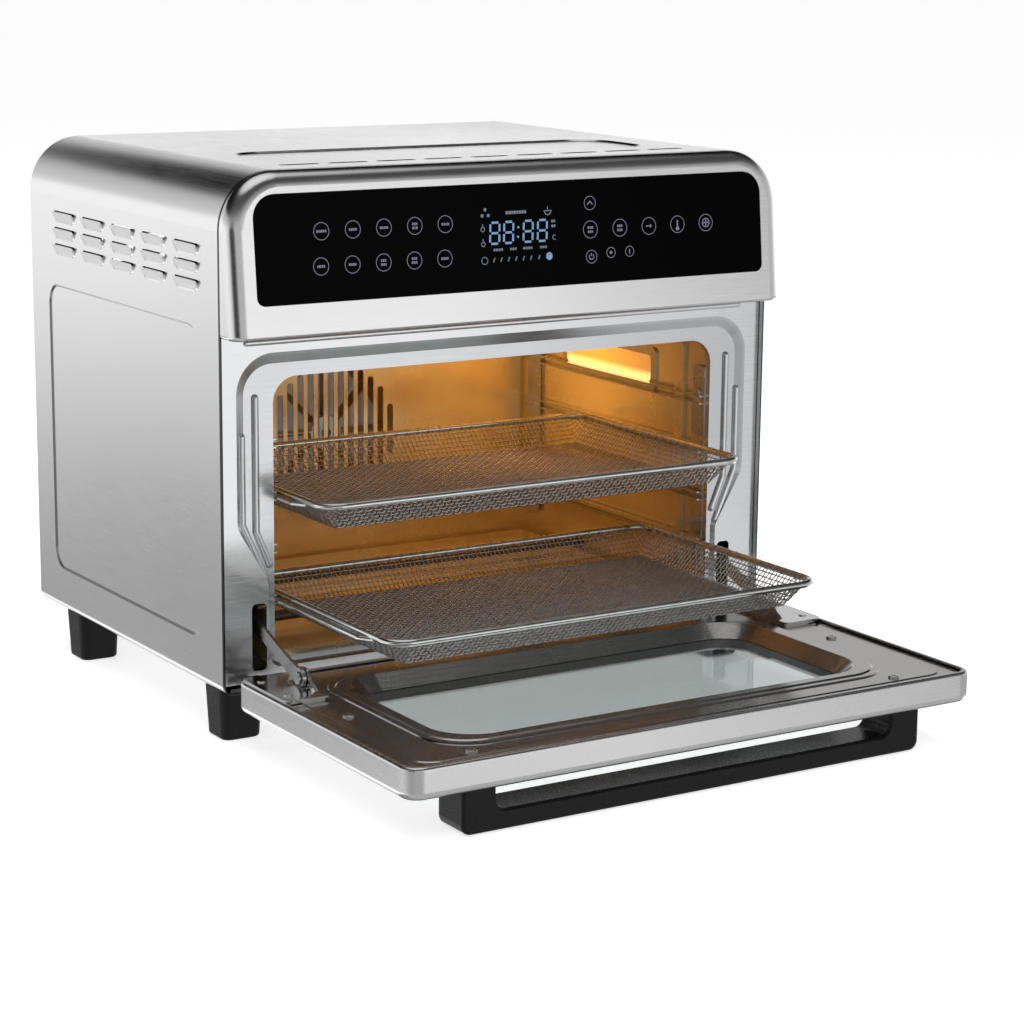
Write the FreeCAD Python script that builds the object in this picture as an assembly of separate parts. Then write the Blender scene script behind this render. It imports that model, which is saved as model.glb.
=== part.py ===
import FreeCAD
import Part

import math
import os

from FreeCAD import Vector

# Countertop air-fryer toaster oven, millimetres.
# X runs to the right seen from the front, Y runs to the back, Z is up.
# The shapes are drawn with Y = 0 at the front edge of the outer casing and Z = 0 at the table.
# The drawn position is with the door open flat and both baskets pulled out.

# ---- driving dimensions -------------------------------------------------------------------
HALF_WIDTH = 200.0
CASE_HEIGHT = 316.0
CASE_DEPTH = 285.0
FOOT_HEIGHT = 32.0
SHEET = 1.0
TOP_CORNER = 35.0
LOW_CORNER = 6.0

CASE_BOTTOM = FOOT_HEIGHT
CASE_TOP = FOOT_HEIGHT + CASE_HEIGHT

BEZEL_BOTTOM = CASE_BOTTOM + 218.0
BEZEL_LOW_DEPTH = 19.5
BEZEL_SLOPE = 0.1
BEZEL_WALL = 1.5
BEZEL_EDGE = 10.0
BEZEL_LOW_EDGE = 2.6
SEAM_GAP = 0.3

GLASS_HALF = 183.7
GLASS_LOW = CASE_BOTTOM + 238.3
GLASS_HIGH = CASE_BOTTOM + 302.7
GLASS_THICK = 3.0
GLASS_CORNERS = [5.0, 5.0, 14.0, 14.0]

PLATE_FRONT = 4.0
RECESS_FRONT = 7.0
OPENING_HALF = 162.0
OPENING_LOW = CASE_BOTTOM + 18.0
OPENING_HIGH = CASE_BOTTOM + 191.5
OPENING_CORNER = 16.0

CAVITY_HALF = 164.0
CAVITY_FRONT = 8.3
CAVITY_BACK = 236.0
CAVITY_LOW = CASE_BOTTOM + 15.0
CAVITY_HIGH = CASE_BOTTOM + 195.0
BACK_PANEL = 283.0

HINGE_Y = -11.0
HINGE_Z = CASE_BOTTOM + 4.5
DOOR_INNER = HINGE_Z + 10.0
DOOR_OUTER = HINGE_Z - 9.5
DOOR_REAR = -13.0
DOOR_FRONT = -222.5
DOOR_CORNER = 12.0
DOOR_LOW_EDGE = 5.0
DOOR_TOP_EDGE = 2.0
DOOR_SHEET = 1.2
DOOR_LIP = 3.5
LINER_TOP = DOOR_INNER - 2.0
WINDOW_HALF = 141.0
WINDOW_REAR = -54.0
WINDOW_FRONT = -176.0
WINDOW_CORNER = 20.0
WINDOW_GLASS_TOP = DOOR_INNER - 8.8
WINDOW_GLASS_THICK = 4.0

HANDLE_HALF = 162.0
HANDLE_LEG = 22.0
HANDLE_BAR = 12.0
HANDLE_BOTTOM = 0.5
HANDLE_FRONT = -216.0
HANDLE_REAR = -188.5

ARM_X = 174.2
ARM_THICK = 2.0
PIN_Y = HINGE_Y - 38.0
PIN_Z = HINGE_Z + 16.0
PIN_RADIUS = 2.5
RUNNING_GAP = 0.08
ARM_TILT = 17.0
ARM_LENGTH = 98.0
SLOT_IN = 169.0
SLOT_OUT = 179.0
SLOT_LOW = CASE_BOTTOM + 12.0
SLOT_HIGH = CASE_BOTTOM + 54.0

BASKET_HALF = 156.0
BASKET_LENGTH = 195.0
BASKET_DROP = 17.0
BASKET_SLOPE = 14.0
BASKET_CORNER = 14.0
BASKET_MESH = 1.2
RIM_RADIUS = 2.25
RUNNER_RADIUS = 1.6
RUNNER_X = 159.2
UPPER_FRONT = -45.0
UPPER_RIM = CASE_BOTTOM + 119.5
LOWER_FRONT = -127.0
LOWER_RIM = CASE_BOTTOM + 55.0
RACK_LEVELS = [LOWER_RIM, CASE_BOTTOM + 87.0, UPPER_RIM, CASE_BOTTOM + 152.0]

FAN_Z = CASE_BOTTOM + 105.0
FAN_RADIUS = 50.0
SHAFT_RADIUS = 3.0
COOLING_X = 100.0
COOLING_Z = CASE_BOTTOM + 262.0
COOLING_RADIUS = 34.0
AXLE_RADIUS = 2.5

SPACER_LENGTH = 17.0

# The row's origin lies on the table under the middle of the depth, from door edge to spacers.
DEPTH_FRONT = DOOR_FRONT
DEPTH_BACK = BACK_PANEL + SHEET + SPACER_LENGTH
ORIGIN_Y = 0.5 * (DEPTH_FRONT + DEPTH_BACK)

X_AXIS = Vector(1, 0, 0)
Y_AXIS = Vector(0, 1, 0)
Z_AXIS = Vector(0, 0, 1)


# ---- drawing helpers ----------------------------------------------------------------------
def box(x0, x1, y0, y1, z0, z1):
    return Part.makeBox(x1 - x0, y1 - y0, z1 - z0, Vector(x0, y0, z0))


def rod(start, direction, radius, length):
    return Part.makeCylinder(radius, length, start, direction)


def mirrored(shape):
    return shape.mirror(Vector(0, 0, 0), X_AXIS)


def joined(shapes):
    return shapes[0].multiFuse(shapes[1:]).removeSplitter()


def both_sides(shape):
    return [shape, mirrored(shape)]


def rectangle(u0, u1, v0, v1):
    return [(u0, v0), (u1, v0), (u1, v1), (u0, v1)]


def on_xz(y):
    return lambda u, v: Vector(u, y, v)


def on_xy(z):
    return lambda u, v: Vector(u, v, z)


def on_yz(x):
    return lambda u, v: Vector(x, u, v)


def outline(corners, radii, place):
    """Closed wire through the corners, each rounded by its own radius."""
    if not isinstance(radii, list):
        radii = [radii] * len(corners)
    edges = []
    starts = []
    ends = []
    middles = []
    count = len(corners)
    for i in range(count):
        here = Vector(corners[i][0], corners[i][1], 0)
        before = Vector(corners[i - 1][0], corners[i - 1][1], 0)
        after = Vector(corners[(i + 1) % count][0], corners[(i + 1) % count][1], 0)
        to_before = (before - here).normalize()
        to_after = (after - here).normalize()
        half_angle = 0.5 * to_before.getAngle(to_after)
        reach = radii[i] / math.tan(half_angle)
        bisector = (to_before + to_after).normalize()
        middle = here + bisector * (radii[i] / math.sin(half_angle) - radii[i])
        starts.append(here + to_before * reach)
        ends.append(here + to_after * reach)
        middles.append(middle)
    for i in range(count):
        if radii[i] > 0:
            arc = [place(p.x, p.y) for p in (starts[i], middles[i], ends[i])]
            edges.append(Part.Arc(*arc).toShape())
        line_start = ends[i]
        line_end = starts[(i + 1) % count]
        if (line_end - line_start).Length > 1e-6:
            ends_3d = [place(p.x, p.y) for p in (line_start, line_end)]
            edges.append(Part.makeLine(*ends_3d))
    return Part.Wire(edges)


def prism_x(corners, radii, x0, x1):
    return Part.Face(outline(corners, radii, on_yz(x0))).extrude(X_AXIS * (x1 - x0))


def prism_y(corners, radii, y0, y1):
    return Part.Face(outline(corners, radii, on_xz(y0))).extrude(Y_AXIS * (y1 - y0))


def prism_z(corners, radii, z0, z1):
    return Part.Face(outline(corners, radii, on_xy(z0))).extrude(Z_AXIS * (z1 - z0))


def taper(first_place, first, first_radii, second_place, second, second_radii):
    """Solid between two outlines with the same number of corners."""
    wires = [outline(first, first_radii, first_place), outline(second, second_radii, second_place)]
    return Part.makeLoft(wires, True, True)


def bent_rod(points, bend_radius, radius):
    """Round bar along straight runs with a round bend at each inner point."""
    edges = []
    start = points[0]
    for i in range(1, len(points) - 1):
        to_before = (points[i - 1] - points[i]).normalize()
        to_after = (points[i + 1] - points[i]).normalize()
        half_angle = 0.5 * to_before.getAngle(to_after)
        reach = bend_radius / math.tan(half_angle)
        bisector = (to_before + to_after).normalize()
        bend_start = points[i] + to_before * reach
        bend_end = points[i] + to_after * reach
        middle = points[i] + bisector * (bend_radius / math.sin(half_angle) - bend_radius)
        edges.append(Part.makeLine(start, bend_start))
        edges.append(Part.Arc(bend_start, middle, bend_end).toShape())
        start = bend_end
    edges.append(Part.makeLine(start, points[-1]))
    path = Part.Wire(edges)
    direction = (points[1] - points[0]).normalize()
    section = Part.Wire([Part.makeCircle(radius, points[0], direction)])
    return path.makePipeShell([section], True, True)


def pan_screw(top, direction, head_radius, head_height, shank_radius, shank_length):
    """Pan-head screw with a cross recess. The direction points from the head to the tip."""
    head = rod(top, direction, head_radius, head_height)
    rim = [edge for edge in head.Edges if abs(edge.CenterOfMass.sub(top).dot(direction)) < 1e-6]
    rim = [edge for edge in rim if edge.Length > head_radius]
    head = head.makeFillet(0.45 * head_height, rim)
    shank = rod(top + direction * (0.9 * head_height), direction, shank_radius, shank_length)
    side = X_AXIS if abs(direction.x) < 0.5 else Y_AXIS
    recess = []
    for turn in (0, 90):
        bar = box(-0.55 * head_radius, 0.55 * head_radius, -0.4, 0.4, -0.1, 0.5 * head_height)
        bar.rotate(Vector(0, 0, 0), Z_AXIS, turn)
        placed = FreeCAD.Placement(top, FreeCAD.Rotation(side, side.cross(direction) * -1, direction, "ZXY"))
        bar.Placement = placed.multiply(bar.Placement)
        recess.append(bar)
    return joined([head, shank]).cut(recess)


# ---- outer casing -------------------------------------------------------------------------
LOUVER_COLUMNS = 5
LOUVER_ROWS = 3
LOUVER_PITCH_Y = 46.0
LOUVER_PITCH_Z = 10.8
LOUVER_FIRST_Y = 44.5
LOUVER_TOP_Z = CASE_BOTTOM + 271.0
LOUVER_HALF = 18.5
LOUVER_HEIGHT = 8.4
LOUVER_BULGE = 1.6


def louver(y, z_top):
    """Hood pressed out of the right side wall, open along its upper edge, and its hollow."""
    wall = HALF_WIDTH
    base = [(y - 15.5, z_top - LOUVER_HEIGHT), (y + 15.5, z_top - LOUVER_HEIGHT),
            (y + LOUVER_HALF, z_top), (y - LOUVER_HALF, z_top)]
    face = [(y - 15.6, z_top - 2.6), (y + 15.6, z_top - 2.6),
            (y + 16.8, z_top - 0.2), (y - 16.8, z_top - 0.2)]
    hood = taper(on_yz(wall - 0.5), base, 1.0, on_yz(wall + LOUVER_BULGE), face, 1.0)
    hollow_base = [(y - 14.6, z_top - LOUVER_HEIGHT + 1.2), (y + 14.6, z_top - LOUVER_HEIGHT + 1.2),
                   (y + 17.6, z_top + 0.4), (y - 17.6, z_top + 0.4)]
    hollow_face = [(y - 14.8, z_top - 2.6), (y + 14.8, z_top - 2.6),
                   (y + 16.0, z_top + 0.4), (y - 16.0, z_top + 0.4)]
    hollow = taper(on_yz(wall - SHEET - 0.5), hollow_base, 0.8, on_yz(wall + 0.8), hollow_face, 0.8)
    return hood, hollow


def sunk_panel_x(y0, y1, z0, z1, corner):
    """Shallow pressed panel in the right side wall: the metal behind it and the pocket in it."""
    wall = HALF_WIDTH
    pocket = taper(on_yz(wall + 0.01), rectangle(y0, y1, z0, z1), corner,
                   on_yz(wall - SHEET), rectangle(y0 + 1.6, y1 - 1.6, z0 + 1.6, z1 - 1.6), corner - 1.6)
    backing = prism_x(rectangle(y0 - 0.6, y1 + 0.6, z0 - 0.6, z1 + 0.6), corner, wall - 2 * SHEET, wall - 0.5)
    return backing, pocket


def sunk_panel_z(x0, x1, y0, y1, corner):
    """The same pressed panel in the top of the casing."""
    top = CASE_TOP
    pocket = taper(on_xy(top + 0.01), rectangle(x0, x1, y0, y1), corner,
                   on_xy(top - SHEET), rectangle(x0 + 1.6, x1 - 1.6, y0 + 1.6, y1 - 1.6), corner - 1.6)
    backing = prism_z(rectangle(x0 - 0.6, x1 + 0.6, y0 - 0.6, y1 + 0.6), corner, top - 2 * SHEET, top - 0.5)
    return backing, pocket


def outer_casing():
    corners = [LOW_CORNER, LOW_CORNER, TOP_CORNER, TOP_CORNER]
    inner_corners = [radius - SHEET for radius in corners]
    skin = prism_y(rectangle(-HALF_WIDTH, HALF_WIDTH, CASE_BOTTOM, CASE_TOP), corners, 0, CASE_DEPTH)
    inside = rectangle(-HALF_WIDTH + SHEET, HALF_WIDTH - SHEET, CASE_BOTTOM + SHEET, CASE_TOP - SHEET)
    skin = skin.cut(prism_y(inside, inner_corners, -1, CASE_DEPTH + 1))
    skin = skin.cut(box(-150, 150, -1, CASE_DEPTH + 1, CASE_BOTTOM - 1, CASE_BOTTOM + 2))
    added = []
    removed = []
    backing, pocket = sunk_panel_x(30, 257, CASE_BOTTOM + 29, CASE_BOTTOM + 222.5, 14)
    added += both_sides(backing)
    removed += both_sides(pocket)
    backing, pocket = sunk_panel_z(-140, 140, 44, 118, 24)
    added.append(backing)
    removed.append(pocket)
    for column in range(LOUVER_COLUMNS):
        for row in range(LOUVER_ROWS):
            y = LOUVER_FIRST_Y + column * LOUVER_PITCH_Y
            hood, hollow = louver(y, LOUVER_TOP_Z - row * LOUVER_PITCH_Z)
            added += both_sides(hood)
            removed += both_sides(hollow)
    for index in range(9):
        x = (index - 4) * 33.5
        slit = rectangle(x - 13.5, x + 13.5, 22.2, 27.8)
        removed.append(prism_z(slit, 2.7, CASE_TOP - 3, CASE_TOP + 1))
    return skin.multiFuse(added).cut(removed).removeSplitter()


def base_plate():
    low = CASE_BOTTOM + SHEET
    plate = box(-193, 193, 5.5, 282.5, low, low + 1.2)
    slots = []
    for index in range(9):
        y = 60 + index * 18
        for x in (-60, 60):
            slots.append(prism_z(rectangle(x - 30, x + 30, y, y + 5), 2.4, low - 1, low + 3))
    return plate.cut(slots)


def back_panel():
    front = BACK_PANEL
    face = rectangle(-198.8, 198.8, CASE_BOTTOM + 2.4, CASE_TOP - SHEET - 0.2)
    panel = prism_y(face, [4, 4, 33.8, 33.8], front, front + SHEET)
    holes = []
    for row in range(9):
        z = FAN_Z - 32 + row * 8
        holes.append(prism_y(rectangle(-35, 35, z, z + 3.6), 1.7, front - 1, front + 3))
        z = COOLING_Z - 32 + row * 7.2
        slot = rectangle(COOLING_X - 32, COOLING_X + 32, z, z + 3.6)
        holes.append(prism_y(slot, 1.7, front - 1, front + 3))
        z = COOLING_Z - 32 + row * 7.2
        holes.append(prism_y(rectangle(-150, -90, z, z + 3.6), 1.7, front - 1, front + 3))
    holes.append(rod(Vector(GLAND_X, front - 1, GLAND_Z), Y_AXIS, GLAND_NECK, 4))
    return panel.cut(holes)


GLAND_X = 150.0
GLAND_Z = CASE_BOTTOM + 42.0
GLAND_NECK = 8.0


def cable_gland():
    """Bush in the back panel where the mains lead would enter."""
    start = Vector(GLAND_X, BACK_PANEL - 3, GLAND_Z)
    neck = rod(start, Y_AXIS, GLAND_NECK - 0.1, 6)
    inner_nut = rod(start, Y_AXIS, 11, 2.9)
    cap = Part.makeCone(12, 8.5, 11, Vector(GLAND_X, BACK_PANEL + SHEET + 0.05, GLAND_Z), Y_AXIS)
    hole = rod(start + Y_AXIS * -1, Y_AXIS, 4.0, 22)
    return joined([neck, inner_nut, cap]).cut(hole)


def rear_spacers():
    """Two posts that keep the oven's back away from a wall."""
    posts = []
    for side in (-1, 1):
        start = Vector(side * 165, BACK_PANEL + SHEET, CASE_BOTTOM + 236)
        pad = rod(start, Y_AXIS, 9, 3)
        post = Part.makeCone(7, 5.5, SPACER_LENGTH - 3, start + Y_AXIS * 3, Y_AXIS)
        posts.append(joined([pad, post]))
    return Part.makeCompound(posts)


def foot(x, y):
    """Moulded block foot with rounded corners, a slight taper and a softened lower edge."""
    low = rectangle(x - 13.0, x + 13.0, y - 13.0, y + 13.0)
    high = rectangle(x - 14.5, x + 14.5, y - 14.5, y + 14.5)
    body = taper(on_xy(0), low, 6.0, on_xy(FOOT_HEIGHT), high, 6.5)
    rim = [edge for edge in body.Edges if edge.BoundBox.ZMax < 0.01]
    return body.makeFillet(2.0, rim)


# ---- control panel ------------------------------------------------------------------------
def bezel_front(z):
    """Front surface of the control panel, which leans back towards the top."""
    return -BEZEL_LOW_DEPTH + BEZEL_SLOPE * (z - BEZEL_BOTTOM)


def lean_layer(near, far):
    """Slab between two depths behind the control panel's front surface."""
    low = BEZEL_BOTTOM - 30
    high = CASE_TOP + 30
    corners = [(bezel_front(low) + near, low), (bezel_front(high) + near, high),
               (bezel_front(high) + far, high), (bezel_front(low) + far, low)]
    return prism_x(corners, 0, -HALF_WIDTH - 20, HALF_WIDTH + 20)


def lean_plate(corners, radii, near, far):
    return prism_y(corners, radii, -60, 30).common(lean_layer(near, far))


def bezel_block(inset, back):
    """Control panel block: wide rounding round its front, and a small one along its lower edge."""
    bottom = BEZEL_BOTTOM + inset
    outer = rectangle(-HALF_WIDTH + inset, HALF_WIDTH - inset, bottom, CASE_TOP - inset)
    high = TOP_CORNER - inset
    block = prism_y(outer, [0, 0, high, high], -60, back).common(lean_layer(inset, 80))
    rim = []
    for edge in block.Edges:
        depths = [p.y - bezel_front(p.z) - inset for p in edge.discretize(5)]
        if max(abs(depth) for depth in depths) < 1e-4 and edge.BoundBox.ZMax > bottom + 1:
            rim.append(edge)
    block = block.makeFillet(BEZEL_EDGE - inset, rim)
    lower = [edge for edge in block.Edges if edge.BoundBox.ZMax < bottom + 0.01]
    lower = [edge for edge in lower if edge.CenterOfMass.y < back - 0.01]
    return block.makeFillet(BEZEL_LOW_EDGE - inset, lower)


def control_bezel():
    shell = bezel_block(0, -SEAM_GAP).cut(bezel_block(BEZEL_WALL, 10))
    window = rectangle(-GLASS_HALF - 0.3, GLASS_HALF + 0.3, GLASS_LOW - 0.3, GLASS_HIGH + 0.3)
    ledge_outer = rectangle(-GLASS_HALF - 3, GLASS_HALF + 3, GLASS_LOW - 3, GLASS_HIGH + 3)
    ledge_inner = rectangle(-GLASS_HALF + 4, GLASS_HALF - 4, GLASS_LOW + 4, GLASS_HIGH - 4)
    ledge = lean_plate(ledge_outer, [8, 8, 17, 17], 1.0, 5.0)
    ledge = ledge.cut(lean_plate(ledge_inner, [1.5, 1.5, 10, 10], 0, 10))
    corners = [radius + 0.3 for radius in GLASS_CORNERS]
    body = joined([shell, ledge])
    return body.cut(lean_plate(window, corners, -5, 0.3 + GLASS_THICK))


def touch_glass():
    shape = rectangle(-GLASS_HALF, GLASS_HALF, GLASS_LOW, GLASS_HIGH)
    return lean_plate(shape, GLASS_CORNERS, 0.2, 0.2 + GLASS_THICK)


def display_module():
    return lean_plate(rectangle(-32, 32, GLASS_LOW + 12, GLASS_HIGH - 12), 2, 3.4, 9.0)


def control_board():
    board = lean_plate(rectangle(-168, 168, GLASS_LOW + 6, GLASS_HIGH - 6), 3, 9.2, 10.8)
    board = board.cut([rod(Vector(x, -60, z), Y_AXIS, 1.6, 90)
                       for x in (-162, 162) for z in (GLASS_LOW + 11, GLASS_HIGH - 11)])
    chips = []
    for x in (-120, -70, 60, 110):
        chips.append(lean_plate(rectangle(x - 9, x + 9, GLASS_LOW + 24, GLASS_LOW + 38), 0, 10.7, 13.0))
    return joined([board] + chips)


def power_board():
    """Relay and supply board on the inside of the left wall, beside the cavity's roof."""
    low = CAVITY_HIGH + 12
    board = box(-186, -100, 60, 190, low, low + 1.6)
    posts = []
    for x, y, wide, deep, tall in ((-165, 90, 24, 30, 18), (-165, 140, 24, 20, 16),
                                   (-125, 90, 16, 18, 15), (-125, 130, 28, 32, 24)):
        posts.append(box(x - wide / 2, x + wide / 2, y - deep / 2, y + deep / 2, low + 1.5, low + tall))
    for x in (-180, -106):
        for y in (66, 184):
            posts.append(rod(Vector(x, y, CAVITY_HIGH + 7.2), Z_AXIS, 3, 5))
    return joined([board] + posts)


# ---- front plate --------------------------------------------------------------------------
def recess_outline(inset, top_inset):
    low = OPENING_LOW - 5 + 0.3 * inset
    side = 188.0 - inset
    foot_side = 167.2 - 0.35 * inset
    top = CASE_BOTTOM + 207.0 - top_inset
    return [(-foot_side, low), (foot_side, low), (foot_side, CASE_BOTTOM + 66), (side, CASE_BOTTOM + 102),
            (side, top), (-side, top), (-side, CASE_BOTTOM + 102), (-foot_side, CASE_BOTTOM + 66)]


def bead(points, radius, base_y):
    """Half-round rib pressed towards the front along a line of points in the XZ plane."""
    knots = [Vector(x, base_y, z) for x, z in points]
    parts = [Part.makeSphere(radius, knot) for knot in knots]
    for start, end in zip(knots, knots[1:]):
        along = end - start
        parts.append(rod(start, along, radius, along.Length))
    behind = box(-HALF_WIDTH, HALF_WIDTH, base_y + 0.4, base_y + 10, CASE_BOTTOM, CASE_TOP)
    return joined(parts).cut(behind)


def front_plate():
    sheet = box(-198.6, 198.6, PLATE_FRONT, PLATE_FRONT + SHEET, CASE_BOTTOM + 5, BEZEL_BOTTOM + 12)
    radii = [8, 8, 10, 12, 25, 25, 12, 10]
    small_radii = [7, 7, 9, 11, 19, 19, 11, 9]
    pan = taper(on_xz(PLATE_FRONT + 0.5), recess_outline(-0.8, -0.8), radii,
                on_xz(RECESS_FRONT + SHEET), recess_outline(5.2, 6.2), small_radii)
    pocket = taper(on_xz(PLATE_FRONT - 0.01), recess_outline(0, 0), radii,
                   on_xz(RECESS_FRONT), recess_outline(6, 7), small_radii)
    opening = rectangle(-OPENING_HALF, OPENING_HALF, OPENING_LOW, OPENING_HIGH)
    collar = rectangle(-OPENING_HALF - 1, OPENING_HALF + 1, OPENING_LOW - 1, OPENING_HIGH + 1)
    ribs = [bead([(-181, CASE_BOTTOM + 213.6), (181, CASE_BOTTOM + 213.6)], 1.8, PLATE_FRONT)]
    outer_rib = bead([(183.4, CASE_BOTTOM + 157), (183.4, CASE_BOTTOM + 103), (168.6, CASE_BOTTOM + 69)],
                     2.3, RECESS_FRONT)
    inner_rib = bead([(174.2, CASE_BOTTOM + 180), (174.2, CASE_BOTTOM + 98), (165.4, CASE_BOTTOM + 77)],
                     2.3, RECESS_FRONT)
    ribs += both_sides(outer_rib) + both_sides(inner_rib)
    body = joined([sheet, pan]).cut(pocket)
    body = joined([body] + ribs)
    body = joined([body, prism_y(collar, OPENING_CORNER + 1, RECESS_FRONT + 0.2, RECESS_FRONT + 5)])
    slot = prism_y(rectangle(SLOT_IN, SLOT_OUT, SLOT_LOW, SLOT_HIGH), 3, 0, 12)
    notch = box(174.5, 185.5, 0, 12, CASE_BOTTOM, CASE_BOTTOM + 9.5)
    cuts = both_sides(slot) + both_sides(notch)
    cuts.append(prism_y(opening, OPENING_CORNER, 0, 20))
    return body.cut(cuts)


# ---- cooking cavity -----------------------------------------------------------------------
HEATER_RADIUS = 3.5
HEATER_ROWS = {
    "upper_heater_front": (74.0, CAVITY_HIGH - 10),
    "upper_heater_rear": (160.0, CAVITY_HIGH - 10),
    "lower_heater_front": (74.0, CAVITY_LOW + 10),
    "lower_heater_rear": (160.0, CAVITY_LOW + 10),
}
LAMP_FRONT = 70.0
LAMP_BACK = 186.0
LAMP_LOW = CASE_BOTTOM + 147.0
LAMP_HIGH = CASE_BOTTOM + 177.0
PROBE_Y = 205.0
PROBE_Z = CASE_BOTTOM + 172.0
RIB_Y = 42.0


def side_wall(lamp):
    """Right wall of the cavity. Heaters pass through it, and one wall also holds the lamp."""
    inner = CAVITY_HALF
    wall = box(inner, inner + SHEET, CAVITY_FRONT, CAVITY_BACK, CAVITY_LOW - SHEET, CAVITY_HIGH + SHEET)
    rib = taper(on_yz(inner + 0.2), rectangle(RIB_Y - 7, RIB_Y + 7, CAVITY_LOW + 8, CAVITY_HIGH - 8), 4,
                on_yz(inner - 1.6), rectangle(RIB_Y - 5, RIB_Y + 5, CAVITY_LOW + 10, CAVITY_HIGH - 10), 3)
    wall = joined([wall, rib])
    cuts = []
    for y, z in HEATER_ROWS.values():
        cuts.append(rod(Vector(inner - 4, y, z), X_AXIS, HEATER_RADIUS + 0.4, 8))
    if lamp:
        window = rectangle(LAMP_FRONT + 3, LAMP_BACK - 3, LAMP_LOW + 3, LAMP_HIGH - 3)
        cuts.append(prism_x(window, 4, inner - 1, inner + 3))
    else:
        cuts.append(rod(Vector(inner - 1, PROBE_Y, PROBE_Z), X_AXIS, 3.0, 4))
    return wall.cut(cuts)


def cavity_rear_wall():
    wall = box(-CAVITY_HALF - SHEET, CAVITY_HALF + SHEET, CAVITY_BACK, CAVITY_BACK + SHEET,
               CAVITY_LOW - SHEET, CAVITY_HIGH + SHEET)
    return wall.cut(rod(Vector(0, CAVITY_BACK - 1, FAN_Z), Y_AXIS, 54, 4))


def fan_guard():
    """Round grille over the fan opening, pierced by upright slots."""
    start = Vector(0, CAVITY_BACK - 1.3, FAN_Z)
    disc = rod(start, Y_AXIS, 62, 1.2)
    slots = []
    for index in range(-6, 7):
        x = index * 8.0
        half = math.sqrt(52.0 ** 2 - x ** 2) - 2.0
        slots.append(prism_y(rectangle(x - 2.4, x + 2.4, FAN_Z - half, FAN_Z + half), 2.3,
                             CAVITY_BACK - 3, CAVITY_BACK + 3))
    return disc.cut(slots)


def fan_chamber():
    """Round pan behind the rear wall in which the convection fan turns."""
    start = Vector(0, CAVITY_BACK + SHEET, FAN_Z)
    pan = rod(start, Y_AXIS, 58, 18)
    flange = rod(start, Y_AXIS, 66, SHEET)
    hollow = rod(start + Y_AXIS * -1, Y_AXIS, 57, 18)
    return joined([pan, flange]).cut([hollow, rod(start, Y_AXIS, 8, 30)])


def convection_fan():
    hub = rod(Vector(0, 242, FAN_Z), Y_AXIS, 12, 8)
    blades = [hub]
    for index in range(8):
        blade = box(8, FAN_RADIUS, 242, 249.5, FAN_Z - 0.6, FAN_Z + 0.6)
        blade.rotate(Vector(30, 245.7, FAN_Z), X_AXIS, 22)
        blade.rotate(Vector(0, 0, FAN_Z), Y_AXIS, index * 45)
        blades.append(blade)
    disc = rod(Vector(0, 248.4, FAN_Z), Y_AXIS, FAN_RADIUS - 6, 1.0)
    blades.append(disc)
    return joined(blades).cut(rod(Vector(0, 230, FAN_Z), Y_AXIS, SHAFT_RADIUS + 0.02, 40))


def fan_shaft():
    shaft = rod(Vector(0, 240, FAN_Z), Y_AXIS, SHAFT_RADIUS, 38)
    return shaft


def convection_motor():
    back = BACK_PANEL - 1.0
    stator = prism_y(rectangle(-30, 30, FAN_Z - 26, FAN_Z + 26), 5, 259, back - 3)
    bearing = rod(Vector(0, 256.5, FAN_Z), Y_AXIS, 8, 4)
    feet = [rod(Vector(x, 255.2, FAN_Z), Y_AXIS, 4, 6) for x in (-26, 26)]
    body = joined([stator, bearing] + feet)
    return body.cut(rod(Vector(0, 250, FAN_Z), Y_AXIS, SHAFT_RADIUS + RUNNING_GAP, 28.5))


def cooling_fan_housing():
    """Square frame on the back panel, with a stub axle on three struts."""
    near = BACK_PANEL - 22
    square = rectangle(COOLING_X - 40, COOLING_X + 40, COOLING_Z - 40, COOLING_Z + 40)
    frame = prism_y(square, 5, near, BACK_PANEL - 0.1)
    frame = frame.cut(rod(Vector(COOLING_X, near - 1, COOLING_Z), Y_AXIS, COOLING_RADIUS + 2.5, 30))
    parts = [frame, rod(Vector(COOLING_X, BACK_PANEL - 3.1, COOLING_Z), Y_AXIS, 14, 3)]
    for turn in (90, 210, 330):
        strut = box(10, COOLING_RADIUS + 4, BACK_PANEL - 3.1, BACK_PANEL - 0.1, -2, 2)
        strut.rotate(Vector(0, 0, 0), Y_AXIS, turn)
        strut.translate(Vector(COOLING_X, 0, COOLING_Z))
        parts.append(strut)
    parts.append(rod(Vector(COOLING_X, near + 5, COOLING_Z), Y_AXIS, AXLE_RADIUS, 16))
    return joined(parts)


def cooling_fan():
    near = BACK_PANEL - 20
    hub = rod(Vector(COOLING_X, near, COOLING_Z), Y_AXIS, 13, 14)
    parts = [hub]
    for index in range(7):
        blade = box(10, COOLING_RADIUS, near + 1, near + 13, -0.7, 0.7)
        blade.rotate(Vector(20, near + 7, 0), X_AXIS, 38)
        blade.rotate(Vector(0, 0, 0), Y_AXIS, index * 360 / 7)
        blade.translate(Vector(COOLING_X, 0, COOLING_Z))
        parts.append(blade)
    cut = rod(Vector(COOLING_X, near + 2, COOLING_Z), Y_AXIS, AXLE_RADIUS + RUNNING_GAP, 20)
    return joined(parts).cut(cut)


def heater(y, z):
    """Straight tubular element with a ceramic sleeve and a terminal at each end."""
    tube = rod(Vector(-174, y, z), X_AXIS, HEATER_RADIUS, 348)
    parts = [tube]
    for side in (-1, 1):
        start = Vector(side * (CAVITY_HALF + SHEET + 0.1), y, z)
        parts.append(rod(start, X_AXIS * side, 6, 7))
        parts.append(rod(start + X_AXIS * (side * 7), X_AXIS * side, 1.5, 6))
    return joined(parts)


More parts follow.
